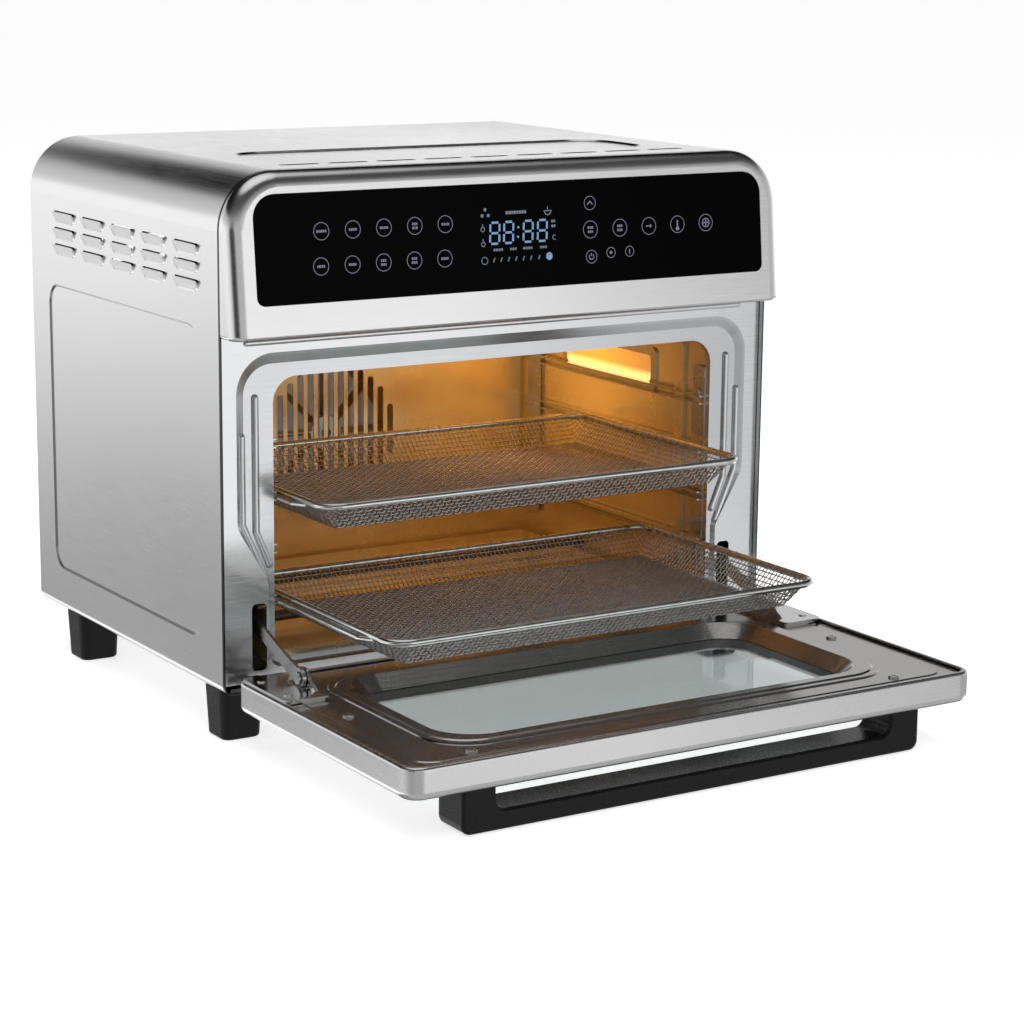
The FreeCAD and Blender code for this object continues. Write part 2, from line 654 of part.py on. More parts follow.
def lamp_housing():
    """Reflector box on the outside of the right wall with a frame inside the cavity."""
    inner = CAVITY_HALF
    frame = prism_x(rectangle(LAMP_FRONT, LAMP_BACK, LAMP_LOW, LAMP_HIGH), 6, inner - 1.5, inner - 0.05)
    frame = frame.cut(prism_x(rectangle(LAMP_FRONT + 6, LAMP_BACK - 6, LAMP_LOW + 6, LAMP_HIGH - 6), 3,
                              inner - 3, inner + 3))
    sleeve = prism_x(rectangle(LAMP_FRONT + 3.2, LAMP_BACK - 3.2, LAMP_LOW + 3.2, LAMP_HIGH - 3.2), 3.8,
                     inner - 0.5, inner + 22)
    hollow = prism_x(rectangle(LAMP_FRONT + 4.2, LAMP_BACK - 4.2, LAMP_LOW + 4.2, LAMP_HIGH - 4.2), 2.8,
                     inner - 0.05, inner + 21)
    body = joined([frame, sleeve]).cut(hollow)
    mouth = prism_x(rectangle(LAMP_FRONT + 6, LAMP_BACK - 6, LAMP_LOW + 6, LAMP_HIGH - 6), 3,
                    inner - 3, inner + 3)
    return body.cut(mouth)


def lamp_lens():
    inner = CAVITY_HALF
    shape = rectangle(LAMP_FRONT + 4.4, LAMP_BACK - 4.4, LAMP_LOW + 4.4, LAMP_HIGH - 4.4)
    return prism_x(shape, 2.6, inner, inner + 3)


def lamp_bulb():
    """Tubular lamp lying along the reflector, with its base at the rear end."""
    x = CAVITY_HALF + 12.5
    z = 0.5 * (LAMP_LOW + LAMP_HIGH)
    glass = rod(Vector(x, LAMP_FRONT + 24, z), Y_AXIS, 7, 62)
    tip = Part.makeSphere(7, Vector(x, LAMP_FRONT + 24, z))
    base = rod(Vector(x, LAMP_FRONT + 84, z), Y_AXIS, 8, LAMP_BACK - LAMP_FRONT - 89)
    return joined([glass, tip, base])


def temperature_probe():
    stem = rod(Vector(-CAVITY_HALF - 12, PROBE_Y, PROBE_Z), X_AXIS, 2.2, 52)
    collar = rod(Vector(-CAVITY_HALF - SHEET - 4.1, PROBE_Y, PROBE_Z), X_AXIS, 6, 4)
    return joined([stem, collar])


def insulation_blanket():
    roof = box(-160, 160, 14, 230, CAVITY_HIGH + SHEET + 0.1, CAVITY_HIGH + 7)
    side = box(CAVITY_HALF + SHEET + 0.1, CAVITY_HALF + 7, 14, 230, CASE_BOTTOM + 84, CASE_BOTTOM + 140)
    return Part.makeCompound([roof] + both_sides(side))


def crumb_tray():
    low = CAVITY_LOW + 0.3
    floor_shape = rectangle(-157, 157, 13, 230)
    tray = prism_z(floor_shape, 4, low, low + 5)
    tray = tray.cut(prism_z(rectangle(-156, 156, 14, 229), 3.2, low + 0.8, low + 6))
    pull = prism_x([(9.5, low + 5), (14, low + 5), (14, low + 1),
                    (13, low + 1), (13, low + 4), (9.5, low + 4)],
                   0, -60, 60)
    return joined([tray, pull])


def rack_support():
    """Right-hand rack: two upright strips with a pair of ledges round each basket level."""
    inner = CAVITY_HALF
    strips = [box(inner - 2.6, inner - 1.7, 12, 26, CASE_BOTTOM + 36, CASE_BOTTOM + 172),
              box(inner - 2.6, inner - 1.7, 214, 230, CASE_BOTTOM + 36, CASE_BOTTOM + 172)]
    feet = [box(inner - 2.0, inner, 14, 24, CASE_BOTTOM + 150, CASE_BOTTOM + 158),
            box(inner - 2.0, inner, 14, 24, CASE_BOTTOM + 44, CASE_BOTTOM + 52),
            box(inner - 2.0, inner, 216, 228, CASE_BOTTOM + 150, CASE_BOTTOM + 158),
            box(inner - 2.0, inner, 216, 228, CASE_BOTTOM + 44, CASE_BOTTOM + 52)]
    ledges = []
    for level in RACK_LEVELS:
        centre = level - 2.0
        gap = RUNNER_RADIUS + 0.4
        for low in (centre - gap - 1.0, centre + gap):
            ledges.append(box(inner - 6.6, inner - 1.7, 12, 230, low, low + 1.0))
    return joined(strips + feet + ledges)


# ---- door ---------------------------------------------------------------------------------
def door_knuckle(x0, x1, outer):
    """Round hinge eye about the door's axis."""
    return rod(Vector(x0, HINGE_Y, HINGE_Z), X_AXIS, outer, x1 - x0)


def door_frame():
    shape = rectangle(-HALF_WIDTH, HALF_WIDTH, DOOR_FRONT, DOOR_REAR)
    block = prism_z(shape, DOOR_CORNER, DOOR_OUTER, DOOR_INNER)
    bottom = [edge for edge in block.Edges if abs(edge.BoundBox.ZMax - DOOR_OUTER) < 1e-6]
    block = block.makeFillet(DOOR_LOW_EDGE, bottom)
    top = [edge for edge in block.Edges if abs(edge.BoundBox.ZMin - DOOR_INNER) < 1e-6]
    block = block.makeFillet(DOOR_TOP_EDGE, top)
    inset = DOOR_SHEET
    hollow_shape = rectangle(-HALF_WIDTH + inset, HALF_WIDTH - inset, DOOR_FRONT + inset, DOOR_REAR - inset)
    hollow = prism_z(hollow_shape, DOOR_CORNER - inset, DOOR_OUTER + inset, DOOR_INNER - inset)
    hollow_bottom = [edge for edge in hollow.Edges if edge.BoundBox.ZMax < DOOR_OUTER + inset + 0.001]
    hollow = hollow.makeFillet(DOOR_LOW_EDGE - inset, hollow_bottom)
    lip_half = HALF_WIDTH - DOOR_LIP
    lip_shape = rectangle(-lip_half, lip_half, DOOR_FRONT + DOOR_LIP, DOOR_REAR - DOOR_LIP)
    lip = prism_z(lip_shape, DOOR_CORNER - DOOR_LIP, DOOR_INNER - 3, DOOR_INNER + 2)
    window = rectangle(-WINDOW_HALF - 1, WINDOW_HALF + 1, WINDOW_FRONT - 1, WINDOW_REAR + 1)
    window_hole = prism_z(window, WINDOW_CORNER, DOOR_OUTER - 1, DOOR_OUTER + 3)
    frame = block.cut([hollow, lip, window_hole])
    eyes = []
    bores = []
    for side in (-1, 1):
        ends = sorted((side * 184.6, side * 191.0))
        eyes.append(door_knuckle(ends[0], ends[1], 4.2))
        notch_ends = sorted((side * 174.8, side * 184.3))
        bores.append(door_knuckle(notch_ends[0], notch_ends[1], 4.9))
        bores.append(door_knuckle(ends[0] - 1, ends[1] + 1, AXLE_RADIUS - 0.5 + RUNNING_GAP))
        bores.append(rod(Vector(side * 151, -205, DOOR_OUTER - 1), Z_AXIS, 2.3, 4))
    return joined([frame] + eyes).cut(bores)


RING_HALF = 163.0
RING_FRONT = -198.0
RING_REAR = -36.0
RING_CORNER = 32.0
RING_STEP = 0.8
WELL_SLOPE = 9.0
BORDER_RISE = 0.5


def ring_outline(inset):
    return rectangle(-RING_HALF + inset, RING_HALF - inset, RING_FRONT + inset, RING_REAR - inset)


def well_outline(inset):
    return rectangle(-WINDOW_HALF + inset, WINDOW_HALF - inset, WINDOW_FRONT + inset, WINDOW_REAR - inset)


def ring_layer(low, low_inset, high, high_inset):
    """One sloping layer of the raised ring, between two heights."""
    return taper(on_xy(low), ring_outline(low_inset), RING_CORNER - low_inset,
                 on_xy(high), ring_outline(high_inset), RING_CORNER - high_inset)


def door_liner():
    """Inner sheet of the door: a pan with a raised field, a two-step ring and a well at the window."""
    gap = DOOR_LIP + 0.3
    flat = rectangle(-HALF_WIDTH + gap, HALF_WIDTH - gap, DOOR_FRONT + gap, DOOR_REAR - gap)
    sheet = prism_z(flat, DOOR_CORNER - gap, LINER_TOP - SHEET, LINER_TOP)
    border = taper(on_xy(LINER_TOP - 0.3), rectangle(-187.5, 187.5, -212.5, -20), 14,
                   on_xy(LINER_TOP + BORDER_RISE), rectangle(-186, 186, -211, -21.5), 12.5)
    low = WINDOW_GLASS_TOP + 0.2
    top = DOOR_INNER - 0.02
    field = LINER_TOP + BORDER_RISE
    step = field + RING_STEP
    steps = [ring_layer(LINER_TOP - SHEET, 0, step, 1.5), ring_layer(field, 4.0, top, 6.5)]
    hollows = [ring_layer(LINER_TOP - SHEET - 0.01, 1.4, step - SHEET, 2.8),
               ring_layer(step - SHEET - 0.01, 5.2, top - SHEET, 7.7)]
    funnel = taper(on_xy(top), well_outline(-WELL_SLOPE - 1.4), 30, on_xy(low), well_outline(-1.4), 21)
    well = taper(on_xy(top + 0.01), well_outline(-WELL_SLOPE), 29,
                 on_xy(low - 0.01), well_outline(0), WINDOW_CORNER)
    body = joined([sheet, border] + steps).cut(hollows)
    body = joined([body, funnel]).cut(well)
    rim = [edge for edge in body.Edges if abs(edge.BoundBox.ZMin - top) < 1e-6]
    return body.makeFillet(0.6, rim)


def door_glass():
    low = WINDOW_GLASS_TOP - WINDOW_GLASS_THICK
    return prism_z(well_outline(-8), 24, low, WINDOW_GLASS_TOP)


def glass_gasket():
    low = DOOR_OUTER + DOOR_SHEET
    ring = prism_z(well_outline(-10), 26, low, WINDOW_GLASS_TOP)
    glass_space = prism_z(well_outline(-8), 24, WINDOW_GLASS_TOP - WINDOW_GLASS_THICK, WINDOW_GLASS_TOP + 1)
    window = prism_z(well_outline(-1.5), WINDOW_CORNER, low - 1, WINDOW_GLASS_TOP + 1)
    return ring.cut([glass_space, window])


def door_handle():
    outer = rectangle(-HANDLE_HALF, HANDLE_HALF, HANDLE_BOTTOM, DOOR_OUTER)
    grip = prism_y(outer, [6, 6, 0, 0], HANDLE_FRONT, HANDLE_REAR)
    inside = HANDLE_HALF - HANDLE_LEG
    gap = rectangle(-inside, inside, HANDLE_BOTTOM + HANDLE_BAR, DOOR_OUTER + 12)
    grip = grip.cut(prism_y(gap, [7, 7, 0, 0], HANDLE_FRONT - 1, HANDLE_REAR + 1))
    rims = []
    for edge in grip.Edges:
        flat_front = abs(edge.BoundBox.YMax - HANDLE_FRONT) < 1e-6
        flat_rear = abs(edge.BoundBox.YMin - HANDLE_REAR) < 1e-6
        on_door = abs(edge.BoundBox.ZMin - DOOR_OUTER) < 1e-6
        if (flat_front or flat_rear) and not on_door:
            rims.append(edge)
    grip = grip.makeFillet(2.2, rims)
    holes = [rod(Vector(side * 151, -205, DOOR_OUTER - 14), Z_AXIS, 2.0, 20) for side in (-1, 1)]
    return grip.cut(holes)


def handle_screws():
    down = Z_AXIS * -1
    screws = [pan_screw(Vector(side * 151, -205, DOOR_OUTER + DOOR_SHEET + 2.6), down, 3.6, 2.6, 2.0, 12)
              for side in (-1, 1)]
    return Part.makeCompound(screws)


def liner_screws():
    down = Z_AXIS * -1
    screws = []
    for side in (-1, 1):
        for x, y in ((150, -204.8), (176, -112)):
            top = Vector(side * x, y, LINER_TOP + BORDER_RISE + 1.3)
            screws.append(pan_screw(top, down, 3.4, 1.3, 1.6, 6))
    return Part.makeCompound(screws)


def hinge_bracket():
    """Right-hand bracket on the door's inner corner, with an upright ear for the arm's pin."""
    low = DOOR_INNER
    base = prism_z(rectangle(167.5, 197.5, -76, -17.5), [4, 6, 4, 4], low, low + 1.2)
    ear = [(-66, low + 0.5), (-30, low + 0.5), (-33, low + 3.0),
           (PIN_Y + 6.5, PIN_Z + 1), (PIN_Y + 4.5, PIN_Z + 6),
           (PIN_Y - 4.5, PIN_Z + 6), (PIN_Y - 6.5, PIN_Z + 1), (-62, low + 3.0)]
    upright = prism_x(ear, [0, 0, 1, 2, 3, 3, 2, 1], ARM_X - 3.6, ARM_X - 1.6)
    down = Z_AXIS * -1
    rivets = [rod(Vector(190, y, low + 1.9), down, 2.6, 1.4) for y in (-30, -64)]
    pad = prism_z(rectangle(169, 195.5, -74, -20), 3, LINER_TOP + BORDER_RISE + 0.05, low + 0.5)
    relief = box(ARM_X - 1.6, ARM_X + 3.4, PIN_Y - 9, PIN_Y + 14, LINER_TOP, low + 3)
    body = joined([joined([base, pad]).cut(relief), upright] + rivets)
    return body.cut(rod(Vector(ARM_X - 6, PIN_Y, PIN_Z), X_AXIS, PIN_RADIUS, 8))


def arm_pins():
    pins = []
    for side in (-1, 1):
        outward = X_AXIS * side
        start = Vector(side * (ARM_X - 4.2), PIN_Y, PIN_Z)
        shank = rod(start, outward, PIN_RADIUS, 6.2)
        inner_head = rod(start + outward * -0.5, outward, 3.8, 1.05)
        outer_head = rod(start + outward * 5.6, outward, 3.8, 1.0)
        pins.append(joined([shank, inner_head, outer_head]))
    return Part.makeCompound(pins)


def hinge_arm():
    """Flat curved lever from the door's pin into the slot, drawn level and then tilted."""
    x0 = ARM_X - ARM_THICK / 2
    blade = [(-1, -5.2), (22, -4.0), (52, -2.2), (ARM_LENGTH - 14, -4.6), (ARM_LENGTH, -4.6),
             (ARM_LENGTH, 4.6), (ARM_LENGTH - 16, 4.6), (50, 6.2), (20, 4.6), (-1, 5.2)]
    lever = prism_x(blade, [0, 30, 30, 8, 3, 3, 8, 30, 30, 0], x0, x0 + ARM_THICK)
    boss = rod(Vector(x0, 0, 0), X_AXIS, 6.2, ARM_THICK)
    bore = rod(Vector(x0 - 1, 0, 0), X_AXIS, PIN_RADIUS + RUNNING_GAP, ARM_THICK + 2)
    eye = rod(Vector(x0 - 1, ARM_LENGTH - 6, 0), X_AXIS, 1.8, ARM_THICK + 2)
    arm = joined([lever, boss]).cut([bore, eye])
    arm.rotate(Vector(0, 0, 0), X_AXIS, ARM_TILT)
    arm.translate(Vector(0, PIN_Y, PIN_Z))
    return arm


def hinge_base():
    """Right-hand fixed hinge half: a side plate in the casing and an eye in front of it."""
    plate = prism_x(rectangle(8.5, 108, CASE_BOTTOM + 3, CASE_BOTTOM + 70), 3, 181.5, 183.3)
    flange = box(181.5, 197, 8.5, 10, CASE_BOTTOM + 12, CASE_BOTTOM + 60)
    tongue = box(176, 183.3, HINGE_Y, 9.5, HINGE_Z - 2.0, HINGE_Z + 1.4)
    eye = door_knuckle(176, 183.3, 4.2)
    body = joined([plate, flange, tongue, eye])
    return body.cut(door_knuckle(175, 185, AXLE_RADIUS - 0.5))


def pivot_pins():
    pins = []
    for side in (-1, 1):
        ends = sorted((side * 175.6, side * 191.4))
        pins.append(rod(Vector(ends[0], HINGE_Y, HINGE_Z), X_AXIS, AXLE_RADIUS - 0.5, ends[1] - ends[0]))
    return Part.makeCompound(pins)


# ---- baskets ------------------------------------------------------------------------------
def basket_tray(front, rim):
    """Tray of woven wire, drawn as one thin sheet, hung inside the rim."""
    half = BASKET_HALF - RIM_RADIUS
    near = front + RIM_RADIUS
    far = front + BASKET_LENGTH - RIM_RADIUS
    top = rim
    low = rim - BASKET_DROP

    def level(inset):
        return rectangle(-half + inset, half - inset, near + inset, far - inset)

    outside = taper(on_xy(top), level(0.2), BASKET_CORNER, on_xy(low), level(BASKET_SLOPE), 8)
    hollow = taper(on_xy(top + 0.01), level(0.2 + BASKET_MESH), BASKET_CORNER - 1,
                   on_xy(low + BASKET_MESH), level(BASKET_SLOPE + 0.6), 7)
    return outside.cut([hollow, basket_rim_rod(front, rim)])


def basket_rim_rod(front, rim):
    half = BASKET_HALF - RIM_RADIUS
    near = front + RIM_RADIUS
    far = front + BASKET_LENGTH - RIM_RADIUS
    path = outline(rectangle(-half, half, near, far), BASKET_CORNER, on_xy(rim))
    start = path.Edges[0].firstVertex().Point
    direction = path.Edges[0].tangentAt(path.Edges[0].FirstParameter)
    section = Part.Wire([Part.makeCircle(RIM_RADIUS, start, direction)])
    return path.makePipeShell([section], True, True)


def basket_rim(front, rim):
    """Rod round the basket's mouth, with a runner rod along each side."""
    parts = [basket_rim_rod(front, rim)]
    low = rim - 2.0
    near = front + 34
    far = front + BASKET_LENGTH - 16
    inner = BASKET_HALF - RIM_RADIUS
    points = [Vector(inner, near - 9, low), Vector(RUNNER_X, near, low),
              Vector(RUNNER_X, far, low), Vector(inner, far + 9, low)]
    runner = bent_rod(points, 4, RUNNER_RADIUS)
    return joined(parts + both_sides(runner))


# ---- fasteners ----------------------------------------------------------------------------
def sheet_screws():
    forward = Y_AXIS * -1
    screws = []
    for x in (-185, 185):
        for z in (CASE_BOTTOM + 20, CASE_BOTTOM + 150, CASE_BOTTOM + 268):
            screws.append(pan_screw(Vector(x, BACK_PANEL + SHEET + 2.0, z), forward, 3.6, 2.0, 1.7, 8))
    for side in (-1, 1):
        outward = X_AXIS * side
        for y in (19, 222):
            for z in (CASE_BOTTOM + 154, CASE_BOTTOM + 48):
                head = Vector(side * (CAVITY_HALF - 4.2), y, z)
                screws.append(pan_screw(head, outward, 3.0, 1.6, 1.4, 7))
    return Part.makeCompound(screws)


# ---- export -------------------------------------------------------------------------------
def export(node, shape):
    moved = shape.copy()
    moved.translate(Vector(0, -ORIGIN_Y, 0))
    moved.exportStep("parts/" + node + ".step")


def main():
    os.makedirs("parts", exist_ok=True)
    shapes = {
        "outer_casing": outer_casing(),
        "base_plate": base_plate(),
        "back_panel": back_panel(),
        "front_plate": front_plate(),
        "control_bezel": control_bezel(),
        "touch_glass": touch_glass(),
        "display_module": display_module(),
        "control_board": control_board(),
        "power_board": power_board(),
        "cavity_left_wall": mirrored(side_wall(False)),
        "cavity_right_wall": side_wall(True),
        "cavity_roof": box(-CAVITY_HALF, CAVITY_HALF, CAVITY_FRONT, CAVITY_BACK,
                           CAVITY_HIGH, CAVITY_HIGH + SHEET),
        "cavity_floor": box(-CAVITY_HALF, CAVITY_HALF, CAVITY_FRONT, CAVITY_BACK,
                            CAVITY_LOW - SHEET, CAVITY_LOW),
        "cavity_rear_wall": cavity_rear_wall(),
        "rack_support_left": mirrored(rack_support()),
        "rack_support_right": rack_support(),
        "fan_guard": fan_guard(),
        "fan_chamber": fan_chamber(),
        "convection_motor": convection_motor(),
        "convection_fan": convection_fan(),
        "fan_shaft": fan_shaft(),
        "cooling_fan_housing": cooling_fan_housing(),
        "cooling_fan": cooling_fan(),
        "lamp_housing": lamp_housing(),
        "lamp_lens": lamp_lens(),
        "lamp_bulb": lamp_bulb(),
        "temperature_probe": temperature_probe(),
        "insulation_blanket": insulation_blanket(),
        "crumb_tray": crumb_tray(),
        "cable_gland": cable_gland(),
        "rear_spacers": rear_spacers(),
        "pivot_pins": pivot_pins(),
        "hinge_base_left": mirrored(hinge_base()),
        "hinge_base_right": hinge_base(),
        "sheet_screws": sheet_screws(),
        "door_frame": door_frame(),
        "door_liner": door_liner(),
        "door_glass": door_glass(),
        "glass_gasket": glass_gasket(),
        "door_handle": door_handle(),
        "handle_screws": handle_screws(),
        "liner_screws": liner_screws(),
        "hinge_bracket_left": mirrored(hinge_bracket()),
        "hinge_bracket_right": hinge_bracket(),
        "arm_pins": arm_pins(),
        "hinge_arm_left": mirrored(hinge_arm()),
        "hinge_arm_right": hinge_arm(),
        "upper_basket_mesh": basket_tray(UPPER_FRONT, UPPER_RIM),
        "upper_basket_rim": basket_rim(UPPER_FRONT, UPPER_RIM),
        "lower_basket_mesh": basket_tray(LOWER_FRONT, LOWER_RIM),
        "lower_basket_rim": basket_rim(LOWER_FRONT, LOWER_RIM),
    }
    for name, (y, z) in HEATER_ROWS.items():
        shapes[name] = heater(y, z)
    for name, x, y in (("foot_front_left", -182, 24), ("foot_front_right", 182, 24),
                       ("foot_rear_left", -182, 238), ("foot_rear_right", 182, 238)):
        shapes[name] = foot(x, y)
    for node, shape in shapes.items():
        export(node, shape)


main()
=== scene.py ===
import math

import bpy
import numpy as np
from mathutils import Matrix, Vector


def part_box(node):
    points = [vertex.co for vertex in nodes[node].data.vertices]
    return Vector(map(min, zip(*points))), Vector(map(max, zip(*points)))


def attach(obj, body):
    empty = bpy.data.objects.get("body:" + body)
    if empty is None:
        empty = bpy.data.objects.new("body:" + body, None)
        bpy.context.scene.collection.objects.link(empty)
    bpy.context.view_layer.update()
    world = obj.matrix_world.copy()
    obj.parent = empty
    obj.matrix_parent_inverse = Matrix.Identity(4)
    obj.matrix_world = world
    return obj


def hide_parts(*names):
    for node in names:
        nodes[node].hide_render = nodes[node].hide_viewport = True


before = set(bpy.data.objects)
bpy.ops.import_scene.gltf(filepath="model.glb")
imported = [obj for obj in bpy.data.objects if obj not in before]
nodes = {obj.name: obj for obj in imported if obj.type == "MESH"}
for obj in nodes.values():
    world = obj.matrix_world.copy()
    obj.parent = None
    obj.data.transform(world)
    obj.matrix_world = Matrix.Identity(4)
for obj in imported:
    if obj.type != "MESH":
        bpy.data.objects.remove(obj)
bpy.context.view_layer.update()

MM = 0.001


# ---- camera -------------------------------------------------------------------------------
# The photograph's viewpoint, as fitted to the casing, the control panel and the mouth.
CAMERA_AZIMUTH = math.radians(-32.2)
CAMERA_ELEVATION = math.radians(12.2)
CAMERA_ROLL = math.radians(0.58)
CAMERA_PLACE = Vector((-0.8974, -1.4703, 0.4904))
CAMERA_LENS = 95.7


def make_camera():
    data = bpy.data.cameras.new("camera")
    data.lens = CAMERA_LENS
    data.sensor_width = 36.0
    data.clip_end = 100.0
    camera = bpy.data.objects.new("camera", data)
    bpy.context.scene.collection.objects.link(camera)
    a, e, r = CAMERA_AZIMUTH, CAMERA_ELEVATION, CAMERA_ROLL
    back = Vector((math.sin(a) * math.cos(e), -math.cos(a) * math.cos(e), math.sin(e)))
    level = Vector((math.cos(a), math.sin(a), 0.0))
    upright = back.cross(level)
    right = level * math.cos(r) + upright * math.sin(r)
    up = upright * math.cos(r) - level * math.sin(r)
    turn = Matrix((right, up, back)).transposed().to_4x4()
    camera.matrix_world = Matrix.Translation(CAMERA_PLACE) @ turn
    bpy.context.scene.camera = camera


# ---- material building blocks -------------------------------------------------------------
def new_material(name, colour, roughness, metallic=0.0):
    """A material with its shader and its base colour, roughness and metallic set."""
    material = bpy.data.materials.new(name)
    material.use_nodes = True
    tree = material.node_tree
    shader = tree.nodes["Principled BSDF"]
    shader.inputs["Base Color"].default_value = (*colour, 1.0)
    shader.inputs["Roughness"].default_value = roughness
    shader.inputs["Metallic"].default_value = metallic
    return material, tree, shader


def coordinates(tree, stretch):
    """Object coordinates scaled along each axis."""
    source = tree.nodes.new("ShaderNodeTexCoord")
    mapping = tree.nodes.new("ShaderNodeMapping")
    mapping.inputs["Scale"].default_value = stretch
    tree.links.new(source.outputs["Object"], mapping.inputs["Vector"])
    return mapping.outputs["Vector"]


def noise(tree, stretch, scale, detail=3.0, rough=0.6):
    texture = tree.nodes.new("ShaderNodeTexNoise")
    texture.inputs["Scale"].default_value = scale
    texture.inputs["Detail"].default_value = detail
    texture.inputs["Roughness"].default_value = rough
    tree.links.new(coordinates(tree, stretch), texture.inputs["Vector"])
    return texture.outputs["Fac"]


def spread(tree, value, low, high, from_low=0.3, from_high=0.7):
    """Maps a pattern's middle range to low..high."""
    ranger = tree.nodes.new("ShaderNodeMapRange")
    ranger.inputs["From Min"].default_value = from_low
    ranger.inputs["From Max"].default_value = from_high
    ranger.inputs["To Min"].default_value = low
    ranger.inputs["To Max"].default_value = high
    tree.links.new(value, ranger.inputs["Value"])
    return ranger.outputs["Result"]


def two_colours(tree, value, first, second):
    mix = tree.nodes.new("ShaderNodeMix")
    mix.data_type = "RGBA"
    mix.inputs["A"].default_value = (*first, 1.0)
    mix.inputs["B"].default_value = (*second, 1.0)
    tree.links.new(value, mix.inputs["Factor"])
    return mix.outputs["Result"]


def bump(tree, shader, value, strength, distance):
    node = tree.nodes.new("ShaderNodeBump")
    node.inputs["Strength"].default_value = strength
    node.inputs["Distance"].default_value = distance
    tree.links.new(value, node.inputs["Height"])
    tree.links.new(node.outputs["Normal"], shader.inputs["Normal"])


def worn_edges(tree, radius):
    """Share of wear: 0 on flats, up to 1 on sharp edges."""
    bevel = tree.nodes.new("ShaderNodeBevel")
    bevel.inputs["Radius"].default_value = radius
    geometry = tree.nodes.new("ShaderNodeNewGeometry")
    product = tree.nodes.new("ShaderNodeVectorMath")
    product.operation = "DOT_PRODUCT"
    tree.links.new(bevel.outputs["Normal"], product.inputs[0])
    tree.links.new(geometry.outputs["Normal"], product.inputs[1])
    return spread(tree, product.outputs["Value"], 1.0, 0.0, 0.9, 1.0)


def combine(tree, operation, first, second=None):
    """One maths step between two values."""
    step = tree.nodes.new("ShaderNodeMath")
    step.operation = operation
    tree.links.new(first, step.inputs[0])
    if second is not None:
        tree.links.new(second, step.inputs[1])
    return step.outputs["Value"]


def shape_axes(tree):
    """Place and shading direction on the object, split into axes."""
    source = tree.nodes.new("ShaderNodeTexCoord")
    place = tree.nodes.new("ShaderNodeSeparateXYZ")
    facing = tree.nodes.new("ShaderNodeSeparateXYZ")
    tree.links.new(source.outputs["Object"], place.inputs["Vector"])
    tree.links.new(source.outputs["Normal"], facing.inputs["Vector"])
    return place.outputs, facing.outputs


def repaint(tree, shader, share, colour):
    """Blends the base colour towards another where share is high."""
    under = shader.inputs["Base Color"].links[0].from_socket
    mix = tree.nodes.new("ShaderNodeMix")
    mix.data_type = "RGBA"
    mix.inputs["B"].default_value = (*colour, 1.0)
    tree.links.new(under, mix.inputs["A"])
    tree.links.new(share, mix.inputs["Factor"])
    tree.links.new(mix.outputs["Result"], shader.inputs["Base Color"])


ALONG_X = (1.0, 60.0, 60.0)
ALONG_Y = (60.0, 1.0, 60.0)


def brushed(name, light, dark, roughness, grain, depth=0.00004, fine=34.0):
    """Brushed sheet: fine scratches along one axis in colour, gloss and relief."""
    material, tree, shader = new_material(name, light, roughness, 1.0)
    scratches = noise(tree, grain, fine, 4.0, 0.7)
    patches = noise(tree, (1, 1, 1), 5.0, 2.0, 0.5)
    colour = two_colours(tree, spread(tree, scratches, 0.0, 1.0), dark, light)
    tree.links.new(colour, shader.inputs["Base Color"])
    gloss = combine(tree, "ADD", spread(tree, scratches, roughness - 0.07, roughness + 0.07),
                    spread(tree, patches, -0.03, 0.03))
    tree.links.new(gloss, shader.inputs["Roughness"])
    bump(tree, shader, scratches, 0.35, depth)
    return material


def rolled(name, light, dark, roughness, scale=60.0, bump_depth=0.00003, metallic=1.0):
    """Plain sheet or turned metal with faint cloudy variation and handling marks."""
    material, tree, shader = new_material(name, light, roughness, metallic)
    clouds = noise(tree, (1, 1, 1), scale, 4.0, 0.6)
    marks = noise(tree, (1, 1, 1), scale * 9, 2.0, 0.5)
    colour = two_colours(tree, spread(tree, clouds, 0.0, 1.0), dark, light)
    tree.links.new(colour, shader.inputs["Base Color"])
    tree.links.new(spread(tree, clouds, roughness - 0.05, roughness + 0.08), shader.inputs["Roughness"])
    bump(tree, shader, marks, 0.25, bump_depth)
    return material


CASE_CORNER = 35.0 * MM
PRESS_DEPTH = 4.0 * MM
HOOD_BULGE = 1.6 * MM
SIDE_PRESS_TOP = 0.256


